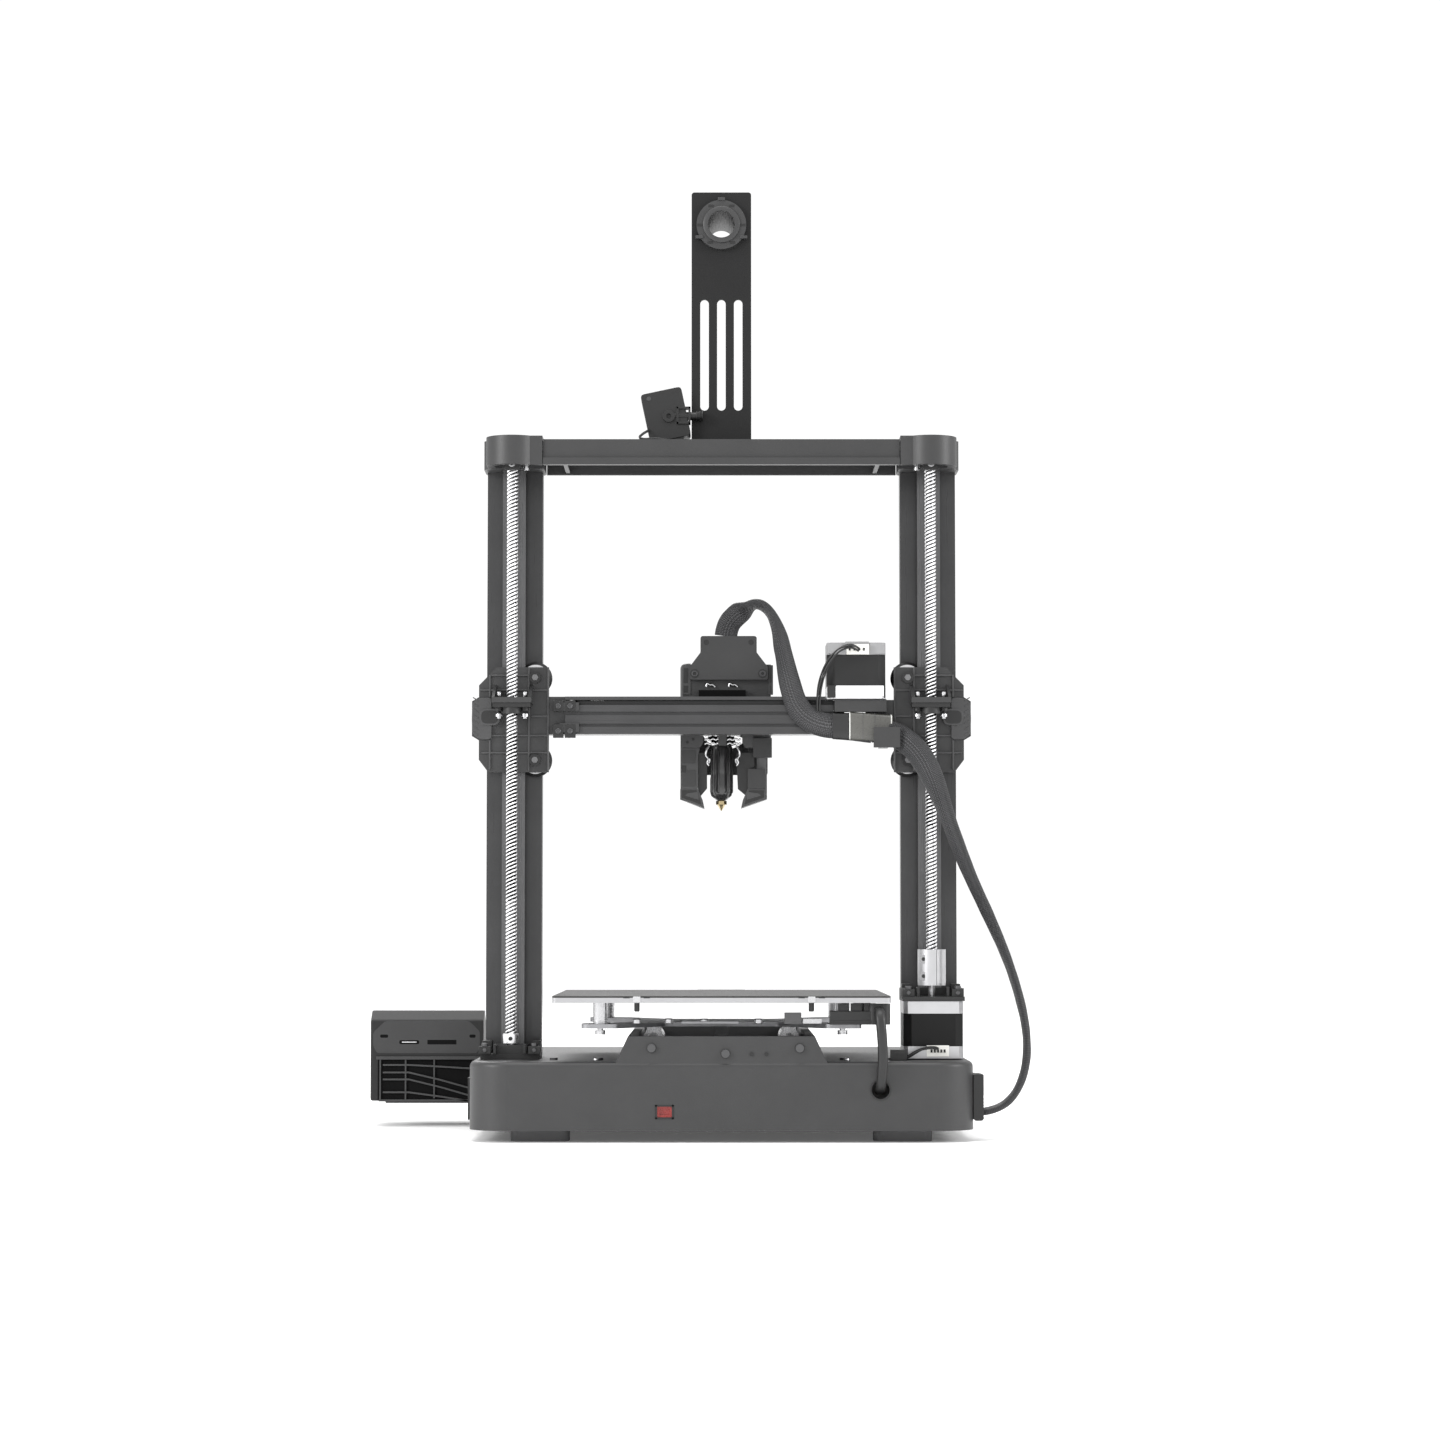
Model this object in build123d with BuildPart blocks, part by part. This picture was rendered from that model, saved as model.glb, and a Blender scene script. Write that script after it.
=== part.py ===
from build123d import *
import math
import os

# Desktop FDM 3-D printer: moving bed (Y), gantry on two lead screws (Z), toolhead (X).
# Drawn about the frame's middle, rear at +Y, floor at Z = 0, millimetres.
# The finished pieces are moved so that the origin is the centre of the footprint.
FOOTPRINT_MID_X = 39.8
FOOTPRINT_MID_Y = -56.5
TO_ORIGIN = Location((-FOOTPRINT_MID_X, -FOOTPRINT_MID_Y, 0))

# Base
BASE_HALF = 176.35
BASE_FRONT = -210.0
BASE_REAR = 93.0
BASE_LOW = 8.2
SHOULDER = 56.0
HUMP_TOP = 73.5
HUMP_HALF = 65.0
HUMP_FOOT = 76.0
WALL = 3.0
CORNER = 27.0
SLOT_HALF = 58.5
SLOT_FRONT = -197.0
SLOT_REAR = 83.0
CABLE_HOLE_X = -110.4
CABLE_HOLE_Z = 36.6

# Uprights and top
UPRIGHT_X = 149.3
UPRIGHT_WIDE = 40.0
UPRIGHT_FRONT = -10.0
RAIL_FOOT = 4.0
RAIL_BACK = 16.0
RAIL_HALF = 8.25
RAIL_MID = 10.0
BEAM_LOW = 478.0
BEAM_TOP = 496.4
CAP_TOP = 498.7
HUB_Z = 657.8
HUB_R = 15.0
HUB_NECK_R = 14.5
HUB_FRONT = -61.0
HUB_SHOULDER = 7.7
SCREW_Y = 38.0
SCREW_R = 4.0
RUNNING = 0.05

# Gantry
GANTRY_Z = 298.4
WHEEL_R = 12.0
WHEEL_PITCH = 59.2
INNER_WHEEL = 15.6
OUTER_WHEEL = 15.7
PLATE_FRONT = 16.8
PLATE_BACK = 20.8
XBEAM_LOW = 287.3
XBEAM_TOP = 314.3
XBEAM_FRONT = 3.0
XBEAM_BACK = 23.0
XBEAM_HALF = 112.0
XMOTOR_X = -96.4
XMOTOR_Y = 13.0
PULLEY_PITCH_R = 6.37
BELT_LOW = 305.3
BELT_HIGH = 311.3
MOTOR_WIDE = 42.0

# Toolhead
NOZZLE_Y = -45.0
NOZZLE_TIP = 234.4
HEAD_MID = -5.2
HEAD_PLATE_BACK = -14.5
SHROUD_LOW = 262.0
SHROUD_TOP = 341.5
COVER_TOP = 360.4
CASE_SIDE = 14.6

# Bed
BED_WIDE = 235.0
BED_Y = -20.5
SHEET_TOP = 101.5
BED_TOP = 100.3
BED_LOW = 96.8
CARRIAGE_TOP = 81.6
CARRIAGE_LOW = 78.5
POST_SPAN = 85.0
ROD_X = 49.0
ROD_Z = 69.0
ROD_R = 4.0
BEARING_Y = -37.5
BEARING_STEP = 30.0
Y_PULLEY_Y = 66.0
Y_IDLER_Y = -188.0
Y_PULLEY_Z = 31.4

# Display
DISPLAY_X0 = 178.2
DISPLAY_X1 = 263.0

UP = (0, 0, 0)
ALONG_X = (0, 90, 0)
ALONG_Y = (90, 0, 0)


def slab(x, y, z, mode=Mode.ADD):
    """A box between two values on each axis."""
    with Locations(((x[0] + x[1]) / 2, (y[0] + y[1]) / 2, (z[0] + z[1]) / 2)):
        Box(abs(x[1] - x[0]), abs(y[1] - y[0]), abs(z[1] - z[0]), mode=mode)


def disc(centre, turn, length, radius, mode=Mode.ADD):
    """A cylinder centred on a point, along the axis that turn gives."""
    with Locations(Location(centre, turn)):
        Cylinder(radius, length, mode=mode)


def save(made, name):
    """Move a finished piece to the footprint's origin and write it."""
    placed = made.part.moved(TO_ORIGIN)
    placed.label = name
    export_step(placed, f"parts/{name}.step")


def prism(corners, way, mode):
    """Extrude a closed outline of corner points by a vector."""
    face = Face(Wire.make_polygon(corners, close=True))
    extrude(face, amount=Vector(*way).length, dir=way, mode=mode)


def profile_x(points, x, mode=Mode.ADD):
    """Extrude an outline given in (y, z) between two values of x."""
    prism([(x[0], y, z) for y, z in points], (x[1] - x[0], 0, 0), mode)


def profile_y(points, y, mode=Mode.ADD):
    """Extrude an outline given in (x, z) between two values of y."""
    prism([(x, y[0], z) for x, z in points], (0, y[1] - y[0], 0), mode)


def profile_z(points, z, mode=Mode.ADD):
    """Extrude an outline given in (x, y) between two values of z."""
    prism([(x, y, z[0]) for x, y in points], (0, 0, z[1] - z[0]), mode)


def cord_radii(points):
    """Radius of each corner's arc: 0.45 of the shorter run over the tangent of half the turn."""
    spots = [Vector(*p) for p in points]
    radii = []
    for before, here, after in zip(spots, spots[1:], spots[2:]):
        turn = math.radians((here - before).get_angle(after - here))
        run = min((here - before).length, (after - here).length)
        radii.append(0.45 * run / math.tan(turn / 2))
    return radii


def cord_tube(points, radius):
    """A round cord along straight runs joined by tangent arcs."""
    radii = cord_radii(points)
    with BuildPart() as cord:
        with BuildLine() as path:
            FilletPolyline(*points, radius=radii)
        route = path.wire()
        with BuildSketch(Plane(origin=route @ 0, z_dir=route % 0)):
            Circle(radius)
        sweep(path=route)
    print(f"cord {route.length:.1f} mm, radii {min(radii):.0f} to {max(radii):.0f},",
          f"volume ratio {cord.part.volume / (math.pi * radius**2 * route.length):.3f}")
    return cord


def motor(x, y, z, face_up):
    """A square stepper motor with a vertical axis, its mounting face at height z."""
    tall = 40.0
    cap = 8.5
    low, high = (z - tall, z) if face_up else (z, z + tall)
    half = MOTOR_WIDE / 2
    for cut, span in ((3.0, (low, low + cap)), (5.5, (low + cap, high - cap)),
                      (3.0, (high - cap, high))):
        outline = [(half, half - cut), (half - cut, half), (cut - half, half), (-half, half - cut),
                   (-half, cut - half), (cut - half, -half), (half - cut, -half), (half, cut - half)]
        profile_z([(x + dx, y + dy) for dx, dy in outline], span)


def make_base():
    with BuildPart() as shell:
        with BuildSketch(Plane.XY.offset(BASE_LOW)):
            with Locations((0, (BASE_FRONT + BASE_REAR) / 2)):
                RectangleRounded(2 * BASE_HALF, BASE_REAR - BASE_FRONT, CORNER)
        extrude(amount=SHOULDER - BASE_LOW)
        top = shell.faces().sort_by(Axis.Z)[-1]
        fillet(top.edges(), 4)
        hump = [(-HUMP_FOOT, SHOULDER - 6), (-HUMP_HALF, HUMP_TOP), (HUMP_HALF, HUMP_TOP),
                (HUMP_FOOT, SHOULDER - 6)]
        profile_y(hump, (BASE_FRONT + 1, BASE_REAR - 1))
        with BuildSketch(Plane.XY.offset(BASE_LOW)):
            with Locations((0, (BASE_FRONT + BASE_REAR) / 2)):
                RectangleRounded(2 * (BASE_HALF - WALL), BASE_REAR - BASE_FRONT - 2 * WALL,
                                 CORNER - WALL)
        extrude(amount=SHOULDER - WALL - BASE_LOW, mode=Mode.SUBTRACT)
        slab((-SLOT_HALF, SLOT_HALF), (SLOT_FRONT, SLOT_REAR), (BASE_LOW, HUMP_TOP + 1),
             Mode.SUBTRACT)
        rod_seats(Mode.SUBTRACT)
        side = BASE_HALF - WALL / 2
        slab((side - 2, side + 2), (14, 64), (14, 44), Mode.SUBTRACT)
        slab((side - 2, side + 2), (-31, -1), (14, 36), Mode.SUBTRACT)
        slab((32.9, 46.1), (BASE_REAR - 5, BASE_REAR + 1), (16.4, 26.2), Mode.SUBTRACT)
        disc((CABLE_HOLE_X, BASE_REAR - 2, CABLE_HOLE_Z), ALONG_Y, 8, 6.2, Mode.SUBTRACT)
    save(shell, "base_shell")

    with BuildPart() as plate:
        with BuildSketch(Plane.XY.offset(BASE_LOW)):
            with Locations((0, (BASE_FRONT + BASE_REAR) / 2)):
                RectangleRounded(2 * (BASE_HALF - WALL) - 0.6,
                                 BASE_REAR - BASE_FRONT - 2 * WALL - 0.6, CORNER - WALL)
        extrude(amount=2)
        with BuildSketch(Plane.XY.offset(BASE_LOW)):
            with Locations((118, -142)):
                with PolarLocations(13.5, 10):
                    SlotOverall(18, 4)
            with Locations((-118, -100)):
                with GridLocations(0, 10, 1, 12):
                    SlotOverall(56, 4)
        extrude(amount=2, mode=Mode.SUBTRACT)
    save(plate, "base_bottom_plate")

    with BuildPart() as feet:
        for x in (-127, 127):
            for y in (-180, 62):
                with BuildSketch(Plane.XY):
                    with Locations((x, y)):
                        RectangleRounded(41, 26, 6)
                extrude(amount=BASE_LOW)
    save(feet, "feet")


def rod_seats(mode):
    for x in (-ROD_X, ROD_X):
        disc((x, (SLOT_FRONT + SLOT_REAR) / 2, ROD_Z), ALONG_Y,
             SLOT_REAR - SLOT_FRONT + 14.2, ROD_R + RUNNING, mode)


def rail_outline():
    """Plan of an upright: a flat body and a rear rail with a V groove down each side."""
    half = UPRIGHT_WIDE / 2
    side = [(half, UPRIGHT_FRONT), (half, RAIL_FOOT), (RAIL_HALF, RAIL_FOOT),
            (RAIL_HALF, 4.9), (7.0, 4.9), (3.0, 8.4), (3.0, 11.6), (7.0, 15.1),
            (RAIL_HALF, 15.1), (RAIL_HALF, RAIL_BACK)]
    return side + [(-x, y) for x, y in reversed(side)]


def make_frame():
    with BuildPart() as uprights:
        for side in (-1, 1):
            outline = [(side * UPRIGHT_X + x, y) for x, y in rail_outline()]
            profile_z(outline, (SHOULDER, BEAM_LOW))
    save(uprights, "uprights")

    with BuildPart() as beam:
        slab((-127, 127), (-12, 50), (BEAM_LOW, BEAM_TOP))
        slab((-128, 128), (-9, 47), (BEAM_LOW - 1, BEAM_TOP - 3), Mode.SUBTRACT)
        slab((-127, 127), (46.9, 52.5), (BEAM_LOW, BEAM_LOW + 5))
        for side in (-1, 1):
            slab((side * 110, side * 113), (-9.5, 47.5), (BEAM_LOW + 1, BEAM_LOW + 2.6))
    save(beam, "top_beam")

    with BuildPart() as caps:
        for side in (-1, 1):
            x0, x1 = sorted((side * 127.3, side * 171))
            with BuildSketch(Plane.XY.offset(BEAM_LOW)):
                with Locations(((x0 + x1) / 2, 5)):
                    RectangleRounded(x1 - x0, 38, 6)
                with Locations((side * UPRIGHT_X, SCREW_Y)):
                    Circle(19)
                with Locations((side * 137, SCREW_Y - 4)):
                    Rectangle(19, 36)
            extrude(amount=CAP_TOP - BEAM_LOW)
            disc((side * UPRIGHT_X, SCREW_Y, BEAM_LOW + 6.0), UP, 14, 13, Mode.SUBTRACT)
            disc((side * UPRIGHT_X, SCREW_Y, BEAM_LOW + 9), UP, 14, SCREW_R + RUNNING,
                 Mode.SUBTRACT)
            slab(sorted((side * 126, side * 142)), (SCREW_Y - 10, SCREW_Y + 9),
                 (BEAM_LOW - 1, BEAM_LOW + 13), Mode.SUBTRACT)
    save(caps, "top_caps")

    with BuildPart() as belts:
        sync_loop = 1.4
        reach = 2 * UPRIGHT_X
        with BuildSketch(Plane.XY.offset(BEAM_LOW + 4)):
            with Locations((0, SCREW_Y)):
                SlotCenterToCenter(reach, 2 * (PULLEY_PITCH_R + 1.6))
                SlotCenterToCenter(reach, 2 * (PULLEY_PITCH_R + 1.6 - sync_loop),
                                   mode=Mode.SUBTRACT)
        extrude(amount=6)
        span = Y_PULLEY_Y - Y_IDLER_Y
        with BuildSketch(Plane.YZ.offset(-3)):
            with Locations(((Y_PULLEY_Y + Y_IDLER_Y) / 2, Y_PULLEY_Z)):
                SlotCenterToCenter(span, 2 * (PULLEY_PITCH_R + 1.6))
                SlotCenterToCenter(span, 2 * (PULLEY_PITCH_R + 1.6 - sync_loop),
                                   mode=Mode.SUBTRACT)
        extrude(amount=6)
    save(belts, "frame_belts")

    with BuildPart() as bracket:
        half = 21.6
        slab((-half, half), (8, 10.5), (BEAM_TOP, 682))
        for side in (-1, 1):
            slab(sorted((side * half, side * (half - 2.5))), (-6, 10.5), (BEAM_TOP, 676))
        slab((-half, half), (-12, 20), (BEAM_TOP, BEAM_TOP + 2.5))
        upper = bracket.edges().filter_by(Axis.Y).group_by(Axis.Z)[-1]
        fillet(upper, 2)
        with BuildSketch(Plane.XZ.offset(-12)):
            with Locations((0, 563)):
                with GridLocations(12.2, 0, 3, 1):
                    SlotOverall(81, 6.2, rotation=90)
            with Locations((0, HUB_Z)):
                Circle(HUB_NECK_R + 0.1)
        extrude(amount=6, mode=Mode.SUBTRACT)
    save(bracket, "spool_bracket")

    with BuildPart() as hub:
        disc((0, 12.5, HUB_Z), ALONG_Y, 4, 18)
        disc((0, 9, HUB_Z), ALONG_Y, 3.2, HUB_NECK_R)
        disc((0, (HUB_FRONT + HUB_SHOULDER) / 2, HUB_Z), ALONG_Y, HUB_SHOULDER - HUB_FRONT, HUB_R)
        disc((0, HUB_FRONT / 2, HUB_Z), ALONG_Y, 90, 9.75, Mode.SUBTRACT)
    save(hub, "spool_hub")


def make_sensor():
    with BuildPart() as sensor:
        with Locations(Location((42, 6, 521.6), (0, -15, 0))):
            Box(30, 24, 42)
        fillet(sensor.edges().filter_by(Axis.Y), 3)
        slab((30, 60), (-6, 18), (BEAM_TOP, BEAM_TOP + 8))
        disc((25, 15.4, 522), ALONG_X, 18, 3)
        disc((16, 15.4, 522), ALONG_X, 5, 4.6)
        disc((31.5, 15.4, 522), ALONG_X, 4, 4.6)
    save(sensor, "filament_sensor")


def make_screws():
    for side, name in ((1, "z_screw_right"), (-1, "z_screw_left")):
        with BuildPart() as screw:
            x = side * UPRIGHT_X
            low = 61.0 if side > 0 else 113.0
            disc((x, SCREW_Y, (low + 492) / 2), UP, 492 - low, SCREW_R)
        with BuildPart() as pulley:
            disc((x, SCREW_Y, BEAM_LOW + 6.8), UP, 7.6, PULLEY_PITCH_R - 0.3)
            for z in (BEAM_LOW + 2.5, BEAM_LOW + 11.1):
                disc((x, SCREW_Y, z), UP, 1, 8.4)
            disc((x, SCREW_Y, BEAM_LOW + 6.8), UP, 20, SCREW_R, Mode.SUBTRACT)
        with BuildPart() as collar:
            if side > 0:
                disc((x, SCREW_Y, 70.3), UP, 7.4, 5.75)
                disc((x, SCREW_Y, 70.3), UP, 9, SCREW_R, Mode.SUBTRACT)
        pieces = [screw.part, pulley.part]
        if side > 0:
            pieces.append(collar.part)
        group = Compound(children=[p.moved(TO_ORIGIN) for p in pieces])
        group.label = name
        export_step(group, f"parts/{name}.step")

    with BuildPart() as coupler:
        x = -UPRIGHT_X
        disc((x, SCREW_Y, 120.7), UP, 25.4, 10)
        disc((x, SCREW_Y, 129), UP, 32.2, SCREW_R, Mode.SUBTRACT)
        disc((x, SCREW_Y, 107), UP, 11.8, 2.5, Mode.SUBTRACT)
        slab((x - 11, x), (SCREW_Y - 0.6, SCREW_Y + 0.6), (107, 134), Mode.SUBTRACT)
        disc((x, SCREW_Y, 104), UP, 18, 2.5)
    save(coupler, "z_coupler")

    with BuildPart() as motors:
        motor(-UPRIGHT_X, SCREW_Y, 97.0, True)
        disc((-UPRIGHT_X, SCREW_Y, 90), UP, 20, 2.6, Mode.SUBTRACT)
        reach = MOTOR_WIDE / 2
        outline = [(reach, reach - 4), (reach - 4, reach), (4 - reach, reach), (-reach, reach - 4),
                   (-reach, 4 - reach), (4 - reach, -reach), (reach - 4, -reach), (reach, 4 - reach)]
        profile_x([(Y_PULLEY_Y + dy, Y_PULLEY_Z + dz) for dy, dz in outline], (13.5, 47.5))
        disc((15, Y_PULLEY_Y, Y_PULLEY_Z), ALONG_X, 20, 2.6, Mode.SUBTRACT)
    save(motors, "frame_motors")

    with BuildPart() as brackets:
        x = -UPRIGHT_X
        slab((x - 22, x + 22), (16.4, 60), (97.3, 100.3))
        slab((x - 22, x + 22), (16.4, 19.0), (97.3, 106))
        for side in (-1, 1):
            slab(sorted((x + side * 22, x + side * 19.4)), (16.4, 50), (97.3, 106))
        disc((x, SCREW_Y, 99), UP, 10, 11.2, Mode.SUBTRACT)
        x = UPRIGHT_X
        slab((x - 21, x + 21), (16.4, 50), (SHOULDER + 0.2, 60))
        slab((x - 12, x + 12), (16.4, 48), (60, 66))
        disc((x, SCREW_Y, 64), UP, 7, SCREW_R + RUNNING, Mode.SUBTRACT)
    save(brackets, "z_foot_brackets")


def make_bed_pulley():
    with BuildPart() as pulley:
        disc((0, Y_PULLEY_Y, Y_PULLEY_Z), ALONG_X, 7.4, PULLEY_PITCH_R - 0.3)
        for x in (-4.3, 4.3):
            disc((x, Y_PULLEY_Y, Y_PULLEY_Z), ALONG_X, 1.2, 8.6)
        disc((9, Y_PULLEY_Y, Y_PULLEY_Z), ALONG_X, 30, 2.5)
    save(pulley, "y_pulley")


def make_electrics():
    with BuildPart() as supply:
        slab((-160, -85), (-185, -30), (12, 48))
        with BuildSketch(Plane.XY.offset(48)):
            with Locations((-122.5, -107.5)):
                with GridLocations(12, 40, 5, 3):
                    SlotOverall(30, 5, rotation=90)
        extrude(amount=-2, mode=Mode.SUBTRACT)
    save(supply, "power_supply")

    with BuildPart() as board:
        slab((75, 165), (-90, 5), (22, 23.6))
        for x in (90, 110, 130, 150):
            slab((x - 7, x + 7), (-60, -44), (23.6, 33))
        slab((100, 118), (-34, -16), (23.6, 26))
        for y in (-84, -72, -2):
            slab((80, 160), (y - 3, y + 3), (23.6, 31))
        for x in (79, 161):
            for y in (-86, 1):
                disc((x, y, 16.2), UP, 11.6, 3)
    save(board, "mainboard")

    with BuildPart() as fan:
        fan_wheel((118, -142, 16), UP, 20, 8, 8)
    save(fan, "board_fan_rotor")

    side = BASE_HALF
    with BuildPart() as inlet:
        slab((side - 26, side + 1.6), (14.4, 63.6), (14.4, 43.6))
        slab((side - 16, side + 3), (26, 52), (20, 38), Mode.SUBTRACT)
        for y in (33, 39, 45):
            slab((side - 17, side - 10), (y - 1, y + 1), (27, 32))
    save(inlet, "power_inlet")

    with BuildPart() as rocker:
        profile_y([(side - 8, 16.5), (side - 8, 33.5), (side + 1, 33.3), (side - 0.8, 25),
                   (side + 3.2, 17)], (-26, -6))
        disc((side - 5, -16, 25), ALONG_Y, 20.8, 1.6)
    save(rocker, "power_switch")

    with BuildPart() as selector:
        slab((33.2, 45.8), (BASE_REAR - 5.4, BASE_REAR - 1.6), (16.7, 25.9))
        slab((36, 43), (BASE_REAR - 3.5, BASE_REAR), (19, 23.6), Mode.SUBTRACT)
    save(selector, "voltage_selector")


def fan_wheel(centre, turn, radius, tall, blades):
    """A hub with swept flat blades about the axis that turn gives."""
    here = Location(centre, turn)
    with Locations(here):
        Cylinder(radius * 0.42, tall)
    for k in range(blades):
        blade = Location((0, 0, 0), (0, 0, 360 * k / blades))
        out = Location((radius * 0.66, 0, 0), (32, 0, 0))
        with Locations(here * blade * out):
            Box(radius * 0.64, radius * 0.5, 1.2)


def make_bed():
    with BuildPart() as rods:
        for x in (-ROD_X, ROD_X):
            disc((x, (SLOT_FRONT + SLOT_REAR) / 2, ROD_Z), ALONG_Y,
                 SLOT_REAR - SLOT_FRONT + 14, ROD_R)
    save(rods, "y_rods")

    with BuildPart() as bearings:
        for x in (-ROD_X, ROD_X):
            for y in (BEARING_Y - BEARING_STEP / 2, BEARING_Y + BEARING_STEP / 2):
                disc((x, y, ROD_Z), ALONG_Y, 24, 7.5)
                slab((x - 5, x + 5), (y - 12, y + 12), (ROD_Z, CARRIAGE_LOW))
                disc((x, y, ROD_Z), ALONG_Y, 30, ROD_R + RUNNING, Mode.SUBTRACT)
    save(bearings, "y_bearings")

    with BuildPart() as carriage:
        arm = 98.0
        waist = 60.0
        outline = [(arm, arm), (arm - 24, arm), (waist - 20, 46), (-waist + 20, 46), (24 - arm, arm),
                   (-arm, arm), (-arm, arm - 24), (-waist, 40), (-waist, -40), (-arm, 24 - arm),
                   (-arm, -arm), (24 - arm, -arm), (-waist + 20, -46), (waist - 20, -46),
                   (arm - 24, -arm), (arm, -arm), (arm, 24 - arm), (waist, -40), (waist, 40),
                   (arm, arm - 24)]
        profile_z([(x, BED_Y + y) for x, y in outline], (CARRIAGE_LOW, CARRIAGE_TOP))
        fillet(carriage.edges().filter_by(Axis.Z), 5)
        slab((-5, 5), (-50, -47.5), (Y_PULLEY_Z + 3, CARRIAGE_LOW))
        slab((-5, 5), (-50, -41), (Y_PULLEY_Z + 3, Y_PULLEY_Z + 11.5))
        slab((-3.6, 3.6), (-51, -40), (Y_PULLEY_Z + 6, Y_PULLEY_Z + 8.6), Mode.SUBTRACT)
        with BuildSketch(Plane.XY.offset(CARRIAGE_LOW)):
            with Locations((0, BED_Y)):
                with GridLocations(2 * POST_SPAN, 2 * POST_SPAN, 2, 2):
                    Circle(2.1)
        extrude(amount=4, mode=Mode.SUBTRACT)
    save(carriage, "y_carriage_plate")

    with BuildPart() as plate:
        with BuildSketch(Plane.XY.offset(BED_LOW)):
            with Locations((0, BED_Y)):
                RectangleRounded(BED_WIDE, BED_WIDE, 3)
        extrude(amount=BED_TOP - BED_LOW)
    save(plate, "bed_plate")

    with BuildPart() as sheet:
        with BuildSketch(Plane.XY.offset(BED_TOP)):
            with Locations((0, BED_Y)):
                RectangleRounded(BED_WIDE, BED_WIDE, 3)
            with Locations((0, BED_Y - BED_WIDE / 2 - 3)):
                RectangleRounded(36, 12, 3)
        extrude(amount=SHEET_TOP - BED_TOP)
    save(sheet, "bed_sheet")

    with BuildPart() as posts:
        for sx in (-1, 1):
            for sy in (-1, 1):
                here = (sx * POST_SPAN, BED_Y + sy * POST_SPAN)
                disc((*here, (CARRIAGE_TOP + BED_LOW) / 2), UP, BED_LOW - CARRIAGE_TOP, 5)
                disc((*here, 79.5), UP, 6, 2)
                disc((*here, 75.5), UP, 3, 3.6)
    save(posts, "bed_posts")

    with BuildPart() as link:
        slab((-108, -75.5), (70.4, 92), (CARRIAGE_TOP, CARRIAGE_TOP + 9.2))
        slab((-104, -92), (70.4, 86), (CARRIAGE_TOP + 9.2, BED_LOW))
        with BuildSketch(Plane.XY.offset(CARRIAGE_TOP)):
            with Locations((-109.6, 84)):
                RectangleRounded(15.6, 17, 4)
        extrude(amount=14.4)
    save(link, "bed_connector")


def make_display():
    with BuildPart() as housing:
        outline = [(-107, 19), (-107, 79), (-120, 87), (-188, 42), (-190, 24), (-180, 17)]
        profile_x(outline, (DISPLAY_X0, DISPLAY_X1))
        fillet(housing.edges().filter_by(Axis.X), 3)
        fillet(housing.faces().sort_by(Axis.X)[-1].edges(), 1.5)
        slope = slope_plane(-1.2)
        with BuildSketch(slope):
            with Locations((-8, 3)):
                Rectangle(58, 47)
        extrude(amount=4, mode=Mode.SUBTRACT)
        with BuildSketch(slope_plane(0)):
            with Locations((31, -22)):
                Circle(4.5)
        extrude(amount=-14, mode=Mode.SUBTRACT)
        slab((225, 240), (-112, -106), (61, 64), Mode.SUBTRACT)
        slab((247, 255), (-112, -106), (61, 64), Mode.SUBTRACT)
        profile_x([(-111.5, 16), (-111.5, 24.2), (-172.5, 24.2), (-182.5, 16)], (DISPLAY_X0 - 1, 252.3),
                  Mode.SUBTRACT)
    save(housing, "display_housing")

    with BuildPart() as screen:
        with BuildSketch(slope_plane(-1.2)):
            with Locations((-8, 3)):
                Rectangle(57.6, 46.6)
        extrude(amount=1.0)
    save(screen, "display_screen")

    with BuildPart() as shaft:
        with BuildSketch(slope_plane(-10)):
            with Locations((31, -22)):
                Circle(3)
        extrude(amount=16)
    save(shaft, "knob_shaft")

    with BuildPart() as knob:
        with BuildSketch(slope_plane(3.0)):
            with Locations((31, -22)):
                Circle(9)
        extrude(amount=11)
        fillet(knob.faces().sort_by(Axis.Z)[-1].edges(), 1)
        with BuildSketch(slope_plane(2.0)):
            with Locations((31, -22)):
                Circle(3 + RUNNING)
        extrude(amount=5, mode=Mode.SUBTRACT)
    save(knob, "display_knob")

    with BuildPart() as bracket:
        profile_x([(-112, 17.2), (-112, 24), (-171.4, 24), (-180.8, 17.2)], (BASE_HALF + 0.2, 252))
        for x in (190, 206, 222, 238):
            slab((x - 6, x + 6), (-168, -118), (16, 21), Mode.SUBTRACT)
    save(bracket, "display_bracket")


def slope_plane(lift):
    """Plane on the display's sloping front face, lifted along its normal."""
    top = Vector(0, -120, 87)
    foot = Vector(0, -188, 42)
    uphill = (top - foot).normalized()
    normal = Vector(1, 0, 0).cross(uphill)
    middle = (top + foot) * 0.5 + Vector((DISPLAY_X0 + DISPLAY_X1) / 2, 0, 0)
    return Plane(origin=middle + normal * lift, x_dir=(1, 0, 0), z_dir=normal)


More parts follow.
